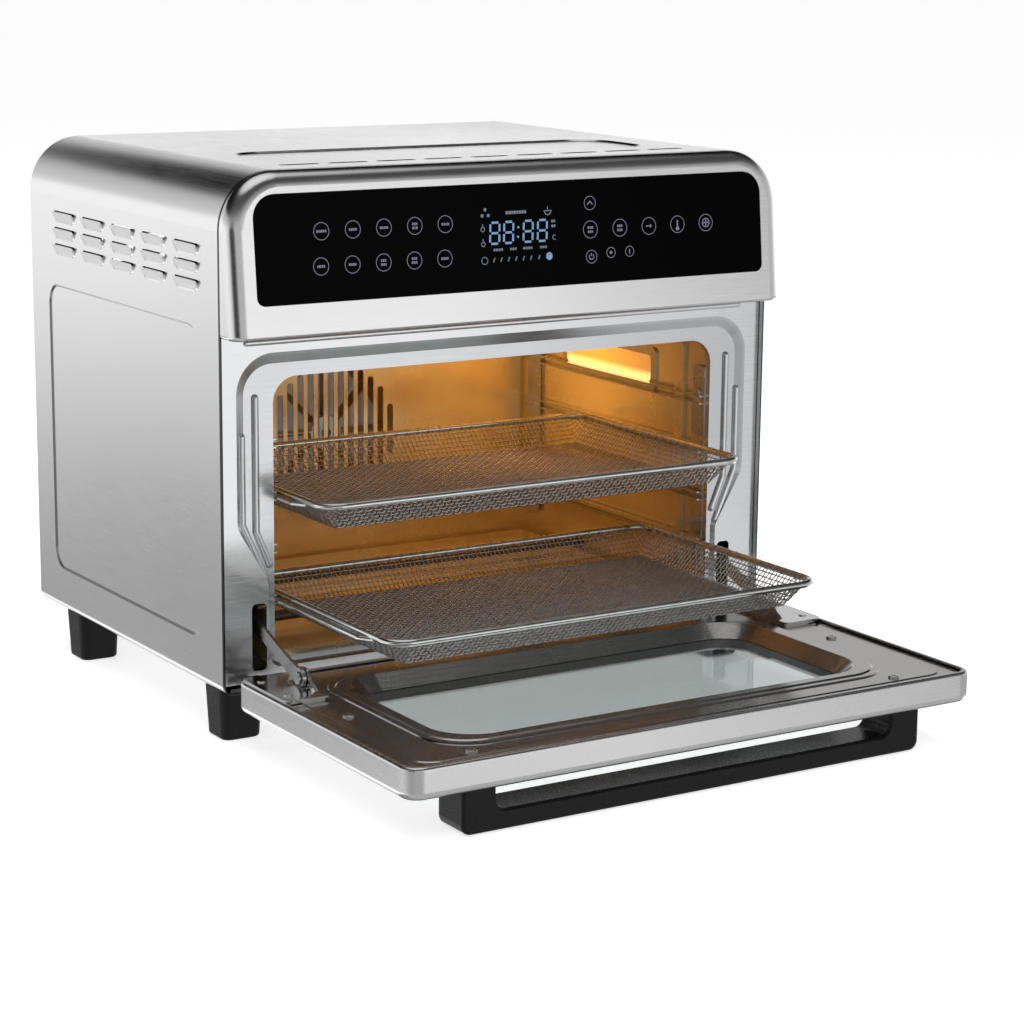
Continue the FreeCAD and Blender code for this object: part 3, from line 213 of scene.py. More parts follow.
def casing_steel():
    """Brushed casing with painted shade: darker in the pressed creases, on the steep walls of the top's
    slits and crease, and in a painted shadow along the front seam; matt on the louvre hoods, which are
    painted lighter as a painted reflection.
    """
    material = brushed("casing_steel", (0.86, 0.86, 0.865), (0.83, 0.83, 0.84), 0.18, ALONG_Y, 0.000006)
    tree = material.node_tree
    shader = tree.nodes["Principled BSDF"]
    low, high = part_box("outer_casing")
    wall = high.x - HOOD_BULGE
    place, facing = shape_axes(tree)
    across = combine(tree, "ABSOLUTE", place["X"])
    sideways = combine(tree, "ABSOLUTE", facing["X"])
    # Painted shade: on the sides, the walls of the pressed panel are painted dark grey in place of the
    # shade in the crease.
    on_side = spread(tree, across, 0.0, 1.0, wall - PRESS_DEPTH, wall - 0.8 * PRESS_DEPTH)
    below = spread(tree, place["Z"], 1.0, 0.0, SIDE_PRESS_TOP, SIDE_PRESS_TOP + 2 * MM)
    side_crease_shade = combine(tree, "MULTIPLY", combine(tree, "MULTIPLY", on_side, below),
                          spread(tree, sideways, 1.0, 0.0, 0.88, 0.985))
    on_top = spread(tree, place["Z"], 0.0, 1.0, high.z - PRESS_DEPTH, high.z - 0.8 * PRESS_DEPTH)
    flat_top = spread(tree, across, 1.0, 0.0, wall - CASE_CORNER - 2 * MM, wall - CASE_CORNER)
    # Painted shadow: a thin band along the casing's front edge, where it meets the front plate, is painted
    # near black as the shade in the seam.
    front_edge = spread(tree, place["Y"], 1.0, 0.0, low.y + 1.8 * MM, low.y + 2.4 * MM)
    outward = combine(tree, "MULTIPLY", place["X"], facing["X"])
    seam = combine(tree, "MULTIPLY", front_edge, spread(tree, outward, 0.0, 1.0, -0.10, -0.02))
    repaint(tree, shader, side_crease_shade, (0.25, 0.25, 0.25))
    repaint(tree, shader, seam, (0.06, 0.06, 0.06))
    # Painted shade: steep walls on the top, in the vent slits and the pressed crease, are painted near
    # black.
    top_wall_shade = combine(tree, "MULTIPLY", combine(tree, "MULTIPLY", on_top, flat_top),
                   spread(tree, facing["Z"], 1.0, 0.0, 0.3, 0.6))
    repaint(tree, shader, top_wall_shade, (0.02, 0.02, 0.02))
    # Painted reflection: the louvre hoods are painted lighter, standing in for the bright floor they would
    # reflect, and are made matt.
    hood = spread(tree, across, 0.0, 1.0, wall + 0.1 * MM, wall + 0.3 * MM)
    repaint(tree, shader, hood, (0.97, 0.97, 0.97))
    gloss = shader.inputs["Roughness"].links[0].from_socket
    matt = combine(tree, "MAXIMUM", gloss, spread(tree, hood, 0.0, 0.55, 0.0, 1.0))
    tree.links.new(matt, shader.inputs["Roughness"])
    return material


PLATE_RECESS = 3.0 * MM


def front_steel():
    """Brushed front plate, a little darker and bluer on the sunk band round the opening: painted shade in
    the recess.
    """
    material = brushed("front_steel", (0.88, 0.89, 0.90), (0.82, 0.83, 0.84), 0.20, ALONG_X, 0.00001)
    tree = material.node_tree
    shader = tree.nodes["Principled BSDF"]
    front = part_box("front_plate")[0].y
    place, _ = shape_axes(tree)
    # Painted shade: the sunk band behind the plate's front face is painted darker and bluer, as if in
    # shade.
    sunk = spread(tree, place["Y"], 0.0, 1.0, front + 0.7 * PLATE_RECESS, front + PLATE_RECESS)
    repaint(tree, shader, sunk, (0.72, 0.74, 0.76))
    return material


def basket_wire():
    """Drawn wire with painted light and shade: bright where it faces up, dull and dark underneath."""
    material, tree, shader = new_material("basket_wire", (0.80, 0.79, 0.77), 0.16, 1.0)
    _, facing = shape_axes(tree)
    wear = noise(tree, (1, 1, 1), 150.0, 3.0, 0.6)
    # Painted light and shade: pale on the upper side of each wire and near black on the under side, with a
    # little random wear.
    painted_light_share = combine(tree, "ADD", spread(tree, facing["Z"], 0.0, 0.9, -0.50, 0.40),
                     spread(tree, wear, -0.05, 0.10))
    colour = two_colours(tree, painted_light_share, (0.14, 0.135, 0.13), (0.97, 0.96, 0.95))
    tree.links.new(colour, shader.inputs["Base Color"])
    tree.links.new(spread(tree, wear, 0.12, 0.24), shader.inputs["Roughness"])
    return material


def moulded(name, colour, roughness, grain_scale=900.0, depth=0.00008, lift=1.6, shine=0.5):
    """Moulded plastic or rubber: fine spark-eroded grain, paler along rubbed edges."""
    material, tree, shader = new_material(name, colour, roughness)
    shader.inputs["Specular IOR Level"].default_value = shine
    grain = noise(tree, (1, 1, 1), grain_scale, 2.0, 0.5)
    pale = tuple(min(1.0, channel * lift + 0.02) for channel in colour)
    tree.links.new(two_colours(tree, worn_edges(tree, 0.001), colour, pale), shader.inputs["Base Color"])
    tree.links.new(spread(tree, grain, roughness - 0.08, roughness + 0.08), shader.inputs["Roughness"])
    bump(tree, shader, grain, 0.5, depth)
    return material


def glowing(name, colour, strength, base=(0.02, 0.02, 0.02)):
    """Lit print: the glow varies a little so that it isn't flat."""
    material, tree, shader = new_material(name, base, 0.4)
    cells = noise(tree, (1, 1, 1), 700.0, 1.0, 0.5)
    dim = tuple(channel * 0.75 for channel in colour)
    glow = two_colours(tree, spread(tree, cells, 0.0, 1.0), dim, colour)
    tree.links.new(glow, shader.inputs["Emission Color"])
    shader.inputs["Emission Strength"].default_value = strength
    return material


def clear_glass(name, tint, roughness=0.02):
    material, tree, shader = new_material(name, tint, roughness)
    shader.inputs["Transmission Weight"].default_value = 1.0
    shader.inputs["IOR"].default_value = 1.5
    smears = noise(tree, (1, 1, 1), 26.0, 3.0, 0.6)
    tree.links.new(spread(tree, smears, roughness, roughness + 0.05, 0.45, 0.8), shader.inputs["Roughness"])
    return material


GLOW_SHARE = 0.4


def warm_lamp(name, low_level, high_level):
    """Ribbed lamp glass that glows most along its lower edge."""
    material, tree, shader = new_material(name, (0.50, 0.33, 0.14), 0.25)
    low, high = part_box("lamp_lens")
    place, _ = shape_axes(tree)
    ribs = noise(tree, (1.0, 60.0, 1.0), 6.0, 2.0, 0.5)
    glow = two_colours(tree, spread(tree, ribs, 0.0, 1.0), (1.0, 0.52, 0.14), (1.0, 0.70, 0.30))
    tree.links.new(glow, shader.inputs["Emission Color"])
    top = low.z + GLOW_SHARE * (high.z - low.z)
    level = spread(tree, place["Z"], low_level, high_level, low.z, top)
    tree.links.new(level, shader.inputs["Emission Strength"])
    return material


def make_materials():
    m = {}
    m["casing"] = casing_steel()
    m["bezel"] = brushed("bezel_steel", (0.92, 0.92, 0.92), (0.84, 0.84, 0.85), 0.18, ALONG_X, 0.00002)
    m["front"] = front_steel()
    m["door"] = brushed("door_steel", (0.88, 0.88, 0.88), (0.72, 0.72, 0.73), 0.25, ALONG_X, 0.00003)
    m["liner"] = brushed("liner_steel", (0.62, 0.61, 0.60), (0.52, 0.51, 0.50), 0.16, ALONG_X, 0.00001)
    m["galvanised"] = rolled("galvanised_steel", (0.64, 0.65, 0.67), (0.57, 0.58, 0.60), 0.38, 45.0)
    m["cavity"] = rolled("cavity_steel", (0.82, 0.64, 0.36), (0.72, 0.55, 0.30), 0.24, 16.0, 0.000002, 0.80)
    m["rack"] = rolled("rack_steel", (0.78, 0.77, 0.75), (0.66, 0.64, 0.62), 0.22)
    m["hinge"] = rolled("hinge_steel", (0.74, 0.74, 0.74), (0.58, 0.58, 0.58), 0.28)
    m["bracket"] = rolled("bracket_steel", (0.88, 0.88, 0.88), (0.78, 0.78, 0.78), 0.12)
    m["pin"] = rolled("pin_steel", (0.76, 0.76, 0.76), (0.62, 0.62, 0.62), 0.22)
    m["screw"] = rolled("screw_steel", (0.78, 0.78, 0.78), (0.62, 0.62, 0.62), 0.22, 200.0)
    m["aluminium"] = rolled("fan_aluminium", (0.82, 0.82, 0.83), (0.70, 0.70, 0.72), 0.35)
    m["reflector"] = rolled("reflector_aluminium", (0.90, 0.86, 0.78), (0.80, 0.74, 0.64), 0.22)
    m["motor"] = moulded("motor_metal", (0.16, 0.16, 0.17), 0.45)
    m["heater"] = rolled("heater_tube", (0.30, 0.27, 0.25), (0.16, 0.14, 0.13), 0.45, 80.0)
    m["wire"] = basket_wire()
    m["rod"] = rolled("basket_rod", (0.88, 0.88, 0.87), (0.74, 0.74, 0.73), 0.14, 120.0)
    m["black"] = moulded("black_plastic", (0.018, 0.018, 0.019), 0.42)
    m["handle"] = moulded("handle_plastic", (0.005, 0.005, 0.0055), 0.30, 700.0, 0.00010, 1.2, 0.22)
    m["foot"] = moulded("foot_rubber", (0.008, 0.008, 0.008), 0.5, shine=0.25)
    m["gasket"] = moulded("gasket_rubber", (0.16, 0.16, 0.16), 0.55)
    m["board"] = moulded("circuit_board", (0.03, 0.16, 0.08), 0.4)
    m["wool"] = moulded("glass_wool", (0.72, 0.70, 0.62), 0.9, 300.0, 0.0008)
    m["panel"] = panel_glass()
    m["display"] = moulded("display_plastic", (0.01, 0.012, 0.02), 0.3)
    m["window"] = clear_glass("door_glass", (0.54, 0.61, 0.60))
    m["bulb"] = warm_lamp("bulb_glass", 1.2, 1.2)
    m["lens"] = warm_lamp("lamp_glass", 2.2, 0.05)
    m["print"] = glowing("panel_print", (0.46, 0.43, 0.62), 0.46)
    m["digits"] = glowing("display_digits", (0.26, 0.50, 0.80), 0.70)
    m["faint"] = glowing("display_faint", (0.30, 0.42, 0.56), 0.45)
    return m


def panel_glass():
    """Black glass with a clear front: deep gloss and faint smears."""
    material, tree, shader = new_material("panel_glass", (0.0012, 0.0012, 0.0015), 0.05)
    smears = noise(tree, (1, 1, 1), 18.0, 3.0, 0.6)
    tree.links.new(spread(tree, smears, 0.03, 0.09), shader.inputs["Roughness"])
    shader.inputs["Specular IOR Level"].default_value = 0.02
    return material


NODE_LOOKS = {
    "casing": ["outer_casing"],
    "bezel": ["control_bezel"],
    "front": ["front_plate"],
    "door": ["door_frame"],
    "liner": ["door_liner"],
    "galvanised": ["base_plate", "back_panel"],
    "cavity": ["cavity_left_wall", "cavity_right_wall", "cavity_roof", "cavity_floor",
               "cavity_rear_wall", "fan_guard", "fan_chamber", "crumb_tray"],
    "rack": ["rack_support_left", "rack_support_right"],
    "hinge": ["hinge_base_left", "hinge_base_right", "hinge_arm_left", "hinge_arm_right"],
    "bracket": ["hinge_bracket_left", "hinge_bracket_right"],
    "pin": ["pivot_pins", "arm_pins", "fan_shaft", "temperature_probe"],
    "screw": ["sheet_screws", "handle_screws", "liner_screws"],
    "aluminium": ["convection_fan"],
    "reflector": ["lamp_housing"],
    "motor": ["convection_motor"],
    "heater": ["upper_heater_front", "upper_heater_rear", "lower_heater_front", "lower_heater_rear"],
    "rod": ["upper_basket_rim", "lower_basket_rim"],
    "black": ["cooling_fan_housing", "cooling_fan", "cable_gland", "rear_spacers"],
    "handle": ["door_handle"],
    "foot": ["foot_front_left", "foot_front_right", "foot_rear_left", "foot_rear_right"],
    "gasket": ["glass_gasket"],
    "board": ["control_board", "power_board"],
    "wool": ["insulation_blanket"],
    "panel": ["touch_glass"],
    "display": ["display_module"],
    "window": ["door_glass"],
    "bulb": ["lamp_bulb"],
    "lens": ["lamp_lens"],
    "wire": ["upper_basket_mesh", "lower_basket_mesh"],
}


def dress_nodes(materials):
    for look, names in NODE_LOOKS.items():
        for name in names:
            for place in nodes[name].material_slots:
                place.material = materials[look]


def piece_from(name, vertices, faces, material, body, smooth=True):
    mesh = bpy.data.meshes.new(name)
    mesh.from_pydata(vertices, [], faces)
    mesh.update()
    mesh.materials.append(material)
    for polygon in mesh.polygons:
        polygon.use_smooth = smooth
    piece = bpy.data.objects.new(name, mesh)
    bpy.context.scene.collection.objects.link(piece)
    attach(piece, body)
    return piece


# ---- woven baskets ------------------------------------------------------------------------
WIRE_RADIUS = 0.42 * MM
WEAVE_PITCH = 3.4 * MM
WIRE_SIDES = 5
EDGE_SLACK = 0.2 * MM
WEAVE_LIFT = 0.95
BASKET_SLOPE = 14.0 * MM
RIM_RADIUS = 2.25 * MM
RIM_CORNER = 14.0 * MM
RIM_HALF_WIDTH = 156.0 * MM
ARC_STEPS = 6
STITCH_PITCH = 8.6 * MM
STITCH_RADIUS = 0.30 * MM
STITCH_STEPS = 10
STITCH_FIRST = 75
STITCH_TURN = 17
STITCH_SKEW = 0.35 * MM
STITCH_GAP = 0.1 * MM


def even_steps(low, high, pitch):
    count = max(1, round((high - low) / pitch))
    return [low + (high - low) * i / count for i in range(count + 1)]


def weave_lines(low, high, slope, steepness):
    """Wire places across the tray: even on the flat floor, and even along the sloping walls."""
    wall = even_steps(0.0, slope, WEAVE_PITCH * steepness)
    floor = even_steps(low + slope, high - slope, WEAVE_PITCH)
    return [low + w for w in wall[:-1]] + floor + [high - w for w in reversed(wall[:-1])]


def tube_faces(start, count, sides, faces):
    """Skin and end caps of a tube whose rings of vertices begin at start."""
    for i in range(count - 1):
        for s in range(sides):
            a = start + i * sides + s
            b = start + i * sides + (s + 1) % sides
            faces.append((a, b, b + sides, a + sides))
    faces.append(tuple(start + s for s in reversed(range(sides))))
    faces.append(tuple(start + (count - 1) * sides + s for s in range(sides)))


def tube_rows(points, radius, sides, vertices, faces):
    """Adds a tube along the points to the lists."""
    count = len(points)
    if count < 2:
        return
    start = len(vertices)
    line = np.array(points)
    along = np.gradient(line, axis=0)
    along /= np.linalg.norm(along, axis=1)[:, None]
    flat = np.cross(along, np.array([0.0, 0.0, 1.0]))
    flat /= np.maximum(np.linalg.norm(flat, axis=1)[:, None], 1e-9)
    rise = np.cross(flat, along)
    for i in range(count):
        for s in range(sides):
            turn = 2 * math.pi * s / sides
            offset = flat[i] * math.cos(turn) + rise[i] * math.sin(turn)
            vertices.append(tuple(line[i] + offset * radius))
    tube_faces(start, count, sides, faces)


def woven_tray(name, tray_node, body, material):
    low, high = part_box(tray_node)
    slope = BASKET_SLOPE
    drop = high.z - low.z
    steepness = slope / math.hypot(slope, drop)
    middle_x = 0.5 * (low.x + high.x)
    middle_y = 0.5 * (low.y + high.y)
    half_x = 0.5 * (high.x - low.x)
    half_y = 0.5 * (high.y - low.y)
    lines_x = weave_lines(-half_x, half_x, slope, steepness)
    lines_y = weave_lines(-half_y, half_y, slope, steepness)
    floor_z = low.z + 2 * WIRE_RADIUS

    def outward(x, y):
        over_x = max(abs(x) - (half_x - slope), 0.0)
        over_y = max(abs(y) - (half_y - slope), 0.0)
        return math.hypot(over_x, over_y), over_x, over_y

    def surface(i, j, side):
        """Point where lines i and j cross, lifted to one side of the sheet. None outside the rim."""
        x, y = lines_x[i], lines_y[j]
        away, over_x, over_y = outward(x, y)
        if away > slope + EDGE_SLACK:
            return None
        share = min(away / slope, 1.0)
        z = floor_z + (high.z - floor_z) * share
        lift = side * WIRE_RADIUS * WEAVE_LIFT
        if away > 0:
            tilt = math.sqrt(1 - steepness ** 2)
            push = lift * tilt / away
            x -= math.copysign(over_x, x) * push
            y -= math.copysign(over_y, y) * push
            z += lift * steepness
        else:
            z += lift
        return (middle_x + x, middle_y + y, z)

    vertices, faces = [], []
    for i in range(len(lines_x)):
        run = [surface(i, j, 1 if (i + j) % 2 else -1) for j in range(len(lines_y))]
        tube_rows([p for p in run if p], WIRE_RADIUS, WIRE_SIDES, vertices, faces)
    for j in range(len(lines_y)):
        run = [surface(i, j, -1 if (i + j) % 2 else 1) for i in range(len(lines_x))]
        tube_rows([p for p in run if p], WIRE_RADIUS, WIRE_SIDES, vertices, faces)
    piece = piece_from(name, vertices, faces, material, body)
    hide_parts(tray_node)


def rim_path(rim_node):
    """Points and directions along the rim rod's centre line, round the basket."""
    low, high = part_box(rim_node)
    half = RIM_HALF_WIDTH - RIM_RADIUS
    near = low.y + RIM_RADIUS
    far = high.y - RIM_RADIUS
    z = high.z - RIM_RADIUS
    corner = RIM_CORNER
    path = []
    arcs = ((half - corner, near + corner, -90), (half - corner, far - corner, 0),
            (-half + corner, far - corner, 90), (-half + corner, near + corner, 180))
    for x, y, start in arcs:
        for step in range(ARC_STEPS + 1):
            turn = math.radians(start + 90 / ARC_STEPS * step)
            path.append(Vector((x + corner * math.cos(turn), y + corner * math.sin(turn), z)))
    path.append(path[0])
    return path


def rim_stitches(name, rim_node, body, material):
    """Small wire loops that bind the woven mesh to the rim rod."""
    path = rim_path(rim_node)
    reach = RIM_RADIUS + STITCH_GAP
    vertices, faces = [], []
    carried = 0.0
    for start, end in zip(path, path[1:]):
        length = (end - start).length
        along = (end - start).normalized()
        side = Vector((along.y, -along.x, 0.0))
        place = STITCH_PITCH - carried
        while place < length:
            centre = start + along * place
            loop = []
            for step in range(STITCH_STEPS + 1):
                turn = math.radians(STITCH_FIRST + STITCH_TURN * step)
                rise = Vector((0, 0, reach * math.sin(turn)))
                skew = along * (STITCH_SKEW * (2 * step / STITCH_STEPS - 1))
                loop.append(centre + side * (reach * math.cos(turn)) + rise + skew)
            tube_along(loop, along, vertices, faces)
            place += STITCH_PITCH
        carried = (carried + length) % STITCH_PITCH
    piece_from(name, vertices, faces, material, body)


def tube_along(loop, across, vertices, faces):
    """Thin tube along a loop that lies round a rod whose direction is across."""
    start = len(vertices)
    count = len(loop)
    for i in range(count):
        ahead = loop[min(i + 1, count - 1)] - loop[max(i - 1, 0)]
        outward = ahead.cross(across).normalized()
        for s in range(WIRE_SIDES):
            turn = 2 * math.pi * s / WIRE_SIDES
            offset = outward * math.cos(turn) + across * math.sin(turn)
            vertices.append(tuple(loop[i] + offset * STITCH_RADIUS))
    tube_faces(start, count, WIRE_SIDES, faces)


# ---- touch panel print --------------------------------------------------------------------
PANEL_LEAN = 0.1
PRINT_RAISE = 0.06 * MM


class Print:
    """Flat marks printed on the leaning panel glass, gathered in one mesh."""

    def __init__(self):
        low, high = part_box("touch_glass")
        self.front = low
        self.centre = 0.5 * (low.z + high.z)
        self.vertices = []
        self.faces = []

    def point(self, x, z):
        world_z = self.centre + z * MM
        y = self.front.y + PANEL_LEAN * (world_z - self.front.z) - PRINT_RAISE
        return (x * MM, y, world_z)

    def polygon(self, points):
        start = len(self.vertices)
        self.vertices += [self.point(x, z) for x, z in points]
        self.faces.append(tuple(start + i for i in range(len(points))))

    def bar(self, x0, z0, x1, z1, width):
        dx, dz = x1 - x0, z1 - z0
        length = math.hypot(dx, dz)
        nx, nz = -dz / length * width / 2, dx / length * width / 2
        self.polygon([(x0 - nx, z0 - nz), (x1 - nx, z1 - nz), (x1 + nx, z1 + nz), (x0 + nx, z0 + nz)])

    def ring(self, x, z, radius, width, first=0, last=360):
        steps = max(6, int((last - first) / 9))
        for i in range(steps):
            a = math.radians(first + (last - first) * i / steps)
            b = math.radians(first + (last - first) * (i + 1) / steps)
            inner = radius - width
            self.polygon([(x + inner * math.cos(a), z + inner * math.sin(a)),
                          (x + radius * math.cos(a), z + radius * math.sin(a)),
                          (x + radius * math.cos(b), z + radius * math.sin(b)),
                          (x + inner * math.cos(b), z + inner * math.sin(b))])

    def dot(self, x, z, radius):
        count = 14
        self.polygon([(x + radius * math.cos(2 * math.pi * i / count),
                       z + radius * math.sin(2 * math.pi * i / count)) for i in range(count)])

    def make(self, name, material):
        return piece_from(name, self.vertices, self.faces, material, "oven", False)


# Places on the glass are in millimetres from its centre.
RING_COLUMNS = [-139.4, -118.2, -97.0, -75.7, -54.4]
RING_ROWS = [9.4, -11.2]
RING_SIZE = 5.3
RING_LINE = 0.40
LOWER_ROW_SHIFT = -1.3
WORD_HEIGHT = 1.5
WORD_PITCH = 2.4
CONTROL_ROW = 1.0
CONTROL_SIZE = 5.5
WORD_CONTROLS = ((50.9, [1.2, 0.9, 1.3], [1.0, 1.2, 0.8]), (73.2, [0.9, 1.4, 0.9], [1.3, 0.8, 1.1]))
DASH_X, THERMOMETER_X, FAN_X = 95.5, 117.7, 140.0
ARROW_X, ARROW_Z = 51.2, 17.4
POWER_X, POWER_Z = 51.0, -15.9
LAMP_X, CLOCK_X, SMALL_ROW = 65.8, 80.0, -14.1
SMALL_SIZE = 3.4
SYMBOL_LINE = 0.7
DIGIT_LEFTS = (-23.2, -13.2, 1.0, 11.4)
DIGIT_WIDTH, DIGIT_HEIGHT, DIGIT_LOW = 6.6, 12.8, -4.2
DIGIT_SLANT = 0.07
DIGIT_GAP = 0.9
DIGIT_LINE = 1.35


def dashes(marks, x, z, widths, height, gap=0.35):
    """A row of small blocks in place of a printed word."""
    total = sum(widths) + gap * (len(widths) - 1)
    left = x - total / 2
    for width in widths:
        marks.bar(left, z, left + width, z, height)
        left += width + gap


def function_rings():
    marks = Print()
    patterns = [[[1.2, 0.8, 1.4, 1.0, 0.9]], [[1.0, 1.3, 0.8, 1.2]], [[1.4, 0.7, 1.1, 1.3]],
                [[0.9, 1.2, 0.8], [1.1, 0.7, 1.3]], [[1.2, 1.0, 0.8, 1.1]],
                [[0.8, 1.4, 1.0, 0.9]], [[1.3, 0.9, 1.2, 0.7]], [[0.7, 1.1, 0.9], [1.2, 1.0, 0.8]],
                [[1.0, 0.8, 1.1], [1.3, 0.9, 1.0]], [[1.1, 1.2, 0.8, 0.9]]]
    index = 0
    for row_number, z in enumerate(RING_ROWS):
        for column in RING_COLUMNS:
            x = column + row_number * LOWER_ROW_SHIFT
            marks.ring(x, z, RING_SIZE, RING_LINE)
            rows = patterns[index]
            for row, widths in enumerate(rows):
                offset = WORD_PITCH * (0.5 * (len(rows) - 1) - row)
                dashes(marks, x, z + offset, widths, WORD_HEIGHT)
            index += 1
    return marks


def control_rings():
    """Right-hand keys: an arrow, two words, three symbols, and power, lamp and clock below."""
    marks = Print()
    marks.ring(ARROW_X, ARROW_Z, 4.4, RING_LINE)
    for side in (-2.0, 2.0):
        marks.bar(ARROW_X + side, ARROW_Z - 1.0, ARROW_X, ARROW_Z + 1.2, SYMBOL_LINE)
    for x, upper, lower in WORD_CONTROLS:
        marks.ring(x, CONTROL_ROW, CONTROL_SIZE, RING_LINE)
        dashes(marks, x, CONTROL_ROW + 1.2, upper, WORD_HEIGHT)
        dashes(marks, x, CONTROL_ROW - 1.4, lower, WORD_HEIGHT)
    for x in (DASH_X, THERMOMETER_X, FAN_X):
        marks.ring(x, CONTROL_ROW, CONTROL_SIZE, RING_LINE)
    marks.bar(DASH_X - 2.2, CONTROL_ROW, DASH_X - 0.2, CONTROL_ROW, 0.8)
    marks.bar(DASH_X + 0.2, CONTROL_ROW, DASH_X + 2.2, CONTROL_ROW, 0.8)
    marks.bar(DASH_X + 1.2, CONTROL_ROW - 1.0, DASH_X + 1.2, CONTROL_ROW + 1.0, 0.8)
    marks.bar(THERMOMETER_X, CONTROL_ROW - 2.4, THERMOMETER_X, CONTROL_ROW + 2.6, 1.0)
    marks.dot(THERMOMETER_X, CONTROL_ROW - 2.6, 1.3)
    marks.bar(FAN_X, CONTROL_ROW - 2.8, FAN_X, CONTROL_ROW + 2.8, SYMBOL_LINE)
    marks.bar(FAN_X - 2.7, CONTROL_ROW, FAN_X + 2.7, CONTROL_ROW, SYMBOL_LINE)
    marks.ring(FAN_X, CONTROL_ROW, 3.0, 0.6)
    marks.ring(POWER_X, POWER_Z, 4.2, RING_LINE)
    marks.ring(POWER_X, POWER_Z, 2.0, 0.6, 130, 410)
    marks.bar(POWER_X, POWER_Z + 0.5, POWER_X, POWER_Z + 2.3, 0.6)
    marks.ring(LAMP_X, SMALL_ROW, SMALL_SIZE, RING_LINE)
    marks.dot(LAMP_X, SMALL_ROW, 1.0)
    marks.ring(CLOCK_X, SMALL_ROW, SMALL_SIZE, RING_LINE)
    marks.bar(CLOCK_X, SMALL_ROW - 1.5, CLOCK_X, SMALL_ROW + 1.5, SYMBOL_LINE)
    return marks


SEGMENTS = ((0, 1, 1, 1), (1, 0.5, 1, 1), (1, 0, 1, 0.5), (0, 0, 1, 0), (0, 0, 0, 0.5), (0, 0.5, 0, 1),
            (0, 0.5, 1, 0.5))


def clock_digits():
    """88:88 in seven-segment figures that lean a little."""
    marks = Print()
    for left in DIGIT_LEFTS:
        for x0, z0, x1, z1 in SEGMENTS:
            ends = []
            for x, z in ((x0, z0), (x1, z1)):
                rise = z * DIGIT_HEIGHT
                ends.append((left + x * DIGIT_WIDTH + DIGIT_SLANT * rise, DIGIT_LOW + rise))
            (ax, az), (bx, bz) = ends
            length = math.hypot(bx - ax, bz - az)
            trim_x = (bx - ax) / length * DIGIT_GAP
            trim_z = (bz - az) / length * DIGIT_GAP
            marks.bar(ax + trim_x, az + trim_z, bx - trim_x, bz - trim_z, DIGIT_LINE)
    marks.dot(-2.8, -0.8, 0.75)
    marks.dot(-2.3, 5.0, 0.75)
    return marks


def display_marks():
    marks = Print()
    for x, z in ((-25.8, 16.7), (-28.0, 13.1), (-23.6, 13.1)):
        marks.dot(x, z, 1.1)
    dashes(marks, -3.6, 14.2, [1.6, 1.8, 1.2, 1.8, 1.5, 1.4, 1.8, 1.3], 1.9)
    marks.ring(19.6, 13.9, 2.6, 0.7, 180, 360)
    marks.bar(16.6, 14.1, 22.6, 14.1, 0.6)
    marks.bar(19.6, 14.7, 19.6, 16.7, 0.6)
    for z in (4.8, -4.2):
        marks.ring(-28.0, z, 1.6, 0.55)
        marks.bar(-28.0, z + 1.4, -28.0, z + 3.2, 0.7)
    dashes(marks, 23.4, 7.6, [1.4, 1.2], 1.6)
    dashes(marks, 23.4, 4.6, [1.1, 1.5], 1.6)
    marks.ring(24.0, -2.4, 1.6, 0.55, 60, 300)
    for x, widths in ((-17.5, [1.4, 1.7, 1.2, 1.5]), (-6.5, [1.3, 1.5, 1.2]), (4.0, [1.7, 1.3, 1.6, 1.2]),
                      (15.5, [1.5, 1.2, 1.6])):
        dashes(marks, x, -8.0, widths, 1.5)
    marks.ring(-27.5, -14.2, 2.4, 0.5)
    for x in (-20.6, -15.4, -10.0, -4.6, 0.8, 6.2, 12.2):
        marks.bar(x - 0.6, -15.4, x + 0.5, -12.8, 0.8)
    return marks


def touch_panel(materials):
    function_rings().make("function_ring_print", materials["print"])
    control_rings().make("control_ring_print", materials["print"])
    clock_digits().make("display_digit_print", materials["digits"])
    display_marks().make("display_mark_print", materials["faint"])
    marks = Print()
    marks.dot(19.6, -13.8, 2.4)
    marks.make("display_disc_print", materials["digits"])


# ---- stage and light ----------------------------------------------------------------------
FLOOR_GLOW = 0.70
FLOOR_RADIUS = 40


def make_floor():
    mesh = bpy.data.meshes.new("floor")
    turns = [math.radians(degrees) for degrees in range(0, 360, 6)]
    ring = [(FLOOR_RADIUS * math.cos(turn), FLOOR_RADIUS * math.sin(turn), 0.0) for turn in turns]
    mesh.from_pydata(ring, [], [tuple(range(len(ring)))])
    floor = bpy.data.objects.new("floor", mesh)
    bpy.context.scene.collection.objects.link(floor)
    material, tree, shader = new_material("floor_white", (0.92, 0.92, 0.92), 0.6)
    clouds = noise(tree, (1, 1, 1), 3.0, 2.0, 0.5)
    colour = two_colours(tree, spread(tree, clouds, 0.0, 1.0),
                         (0.915, 0.915, 0.915), (0.925, 0.925, 0.925))
    tree.links.new(colour, shader.inputs["Base Color"])
    shader.inputs["Emission Color"].default_value = (1.0, 1.0, 1.0, 1.0)
    shader.inputs["Emission Strength"].default_value = FLOOR_GLOW
    mesh.materials.append(material)
    floor.visible_glossy = False


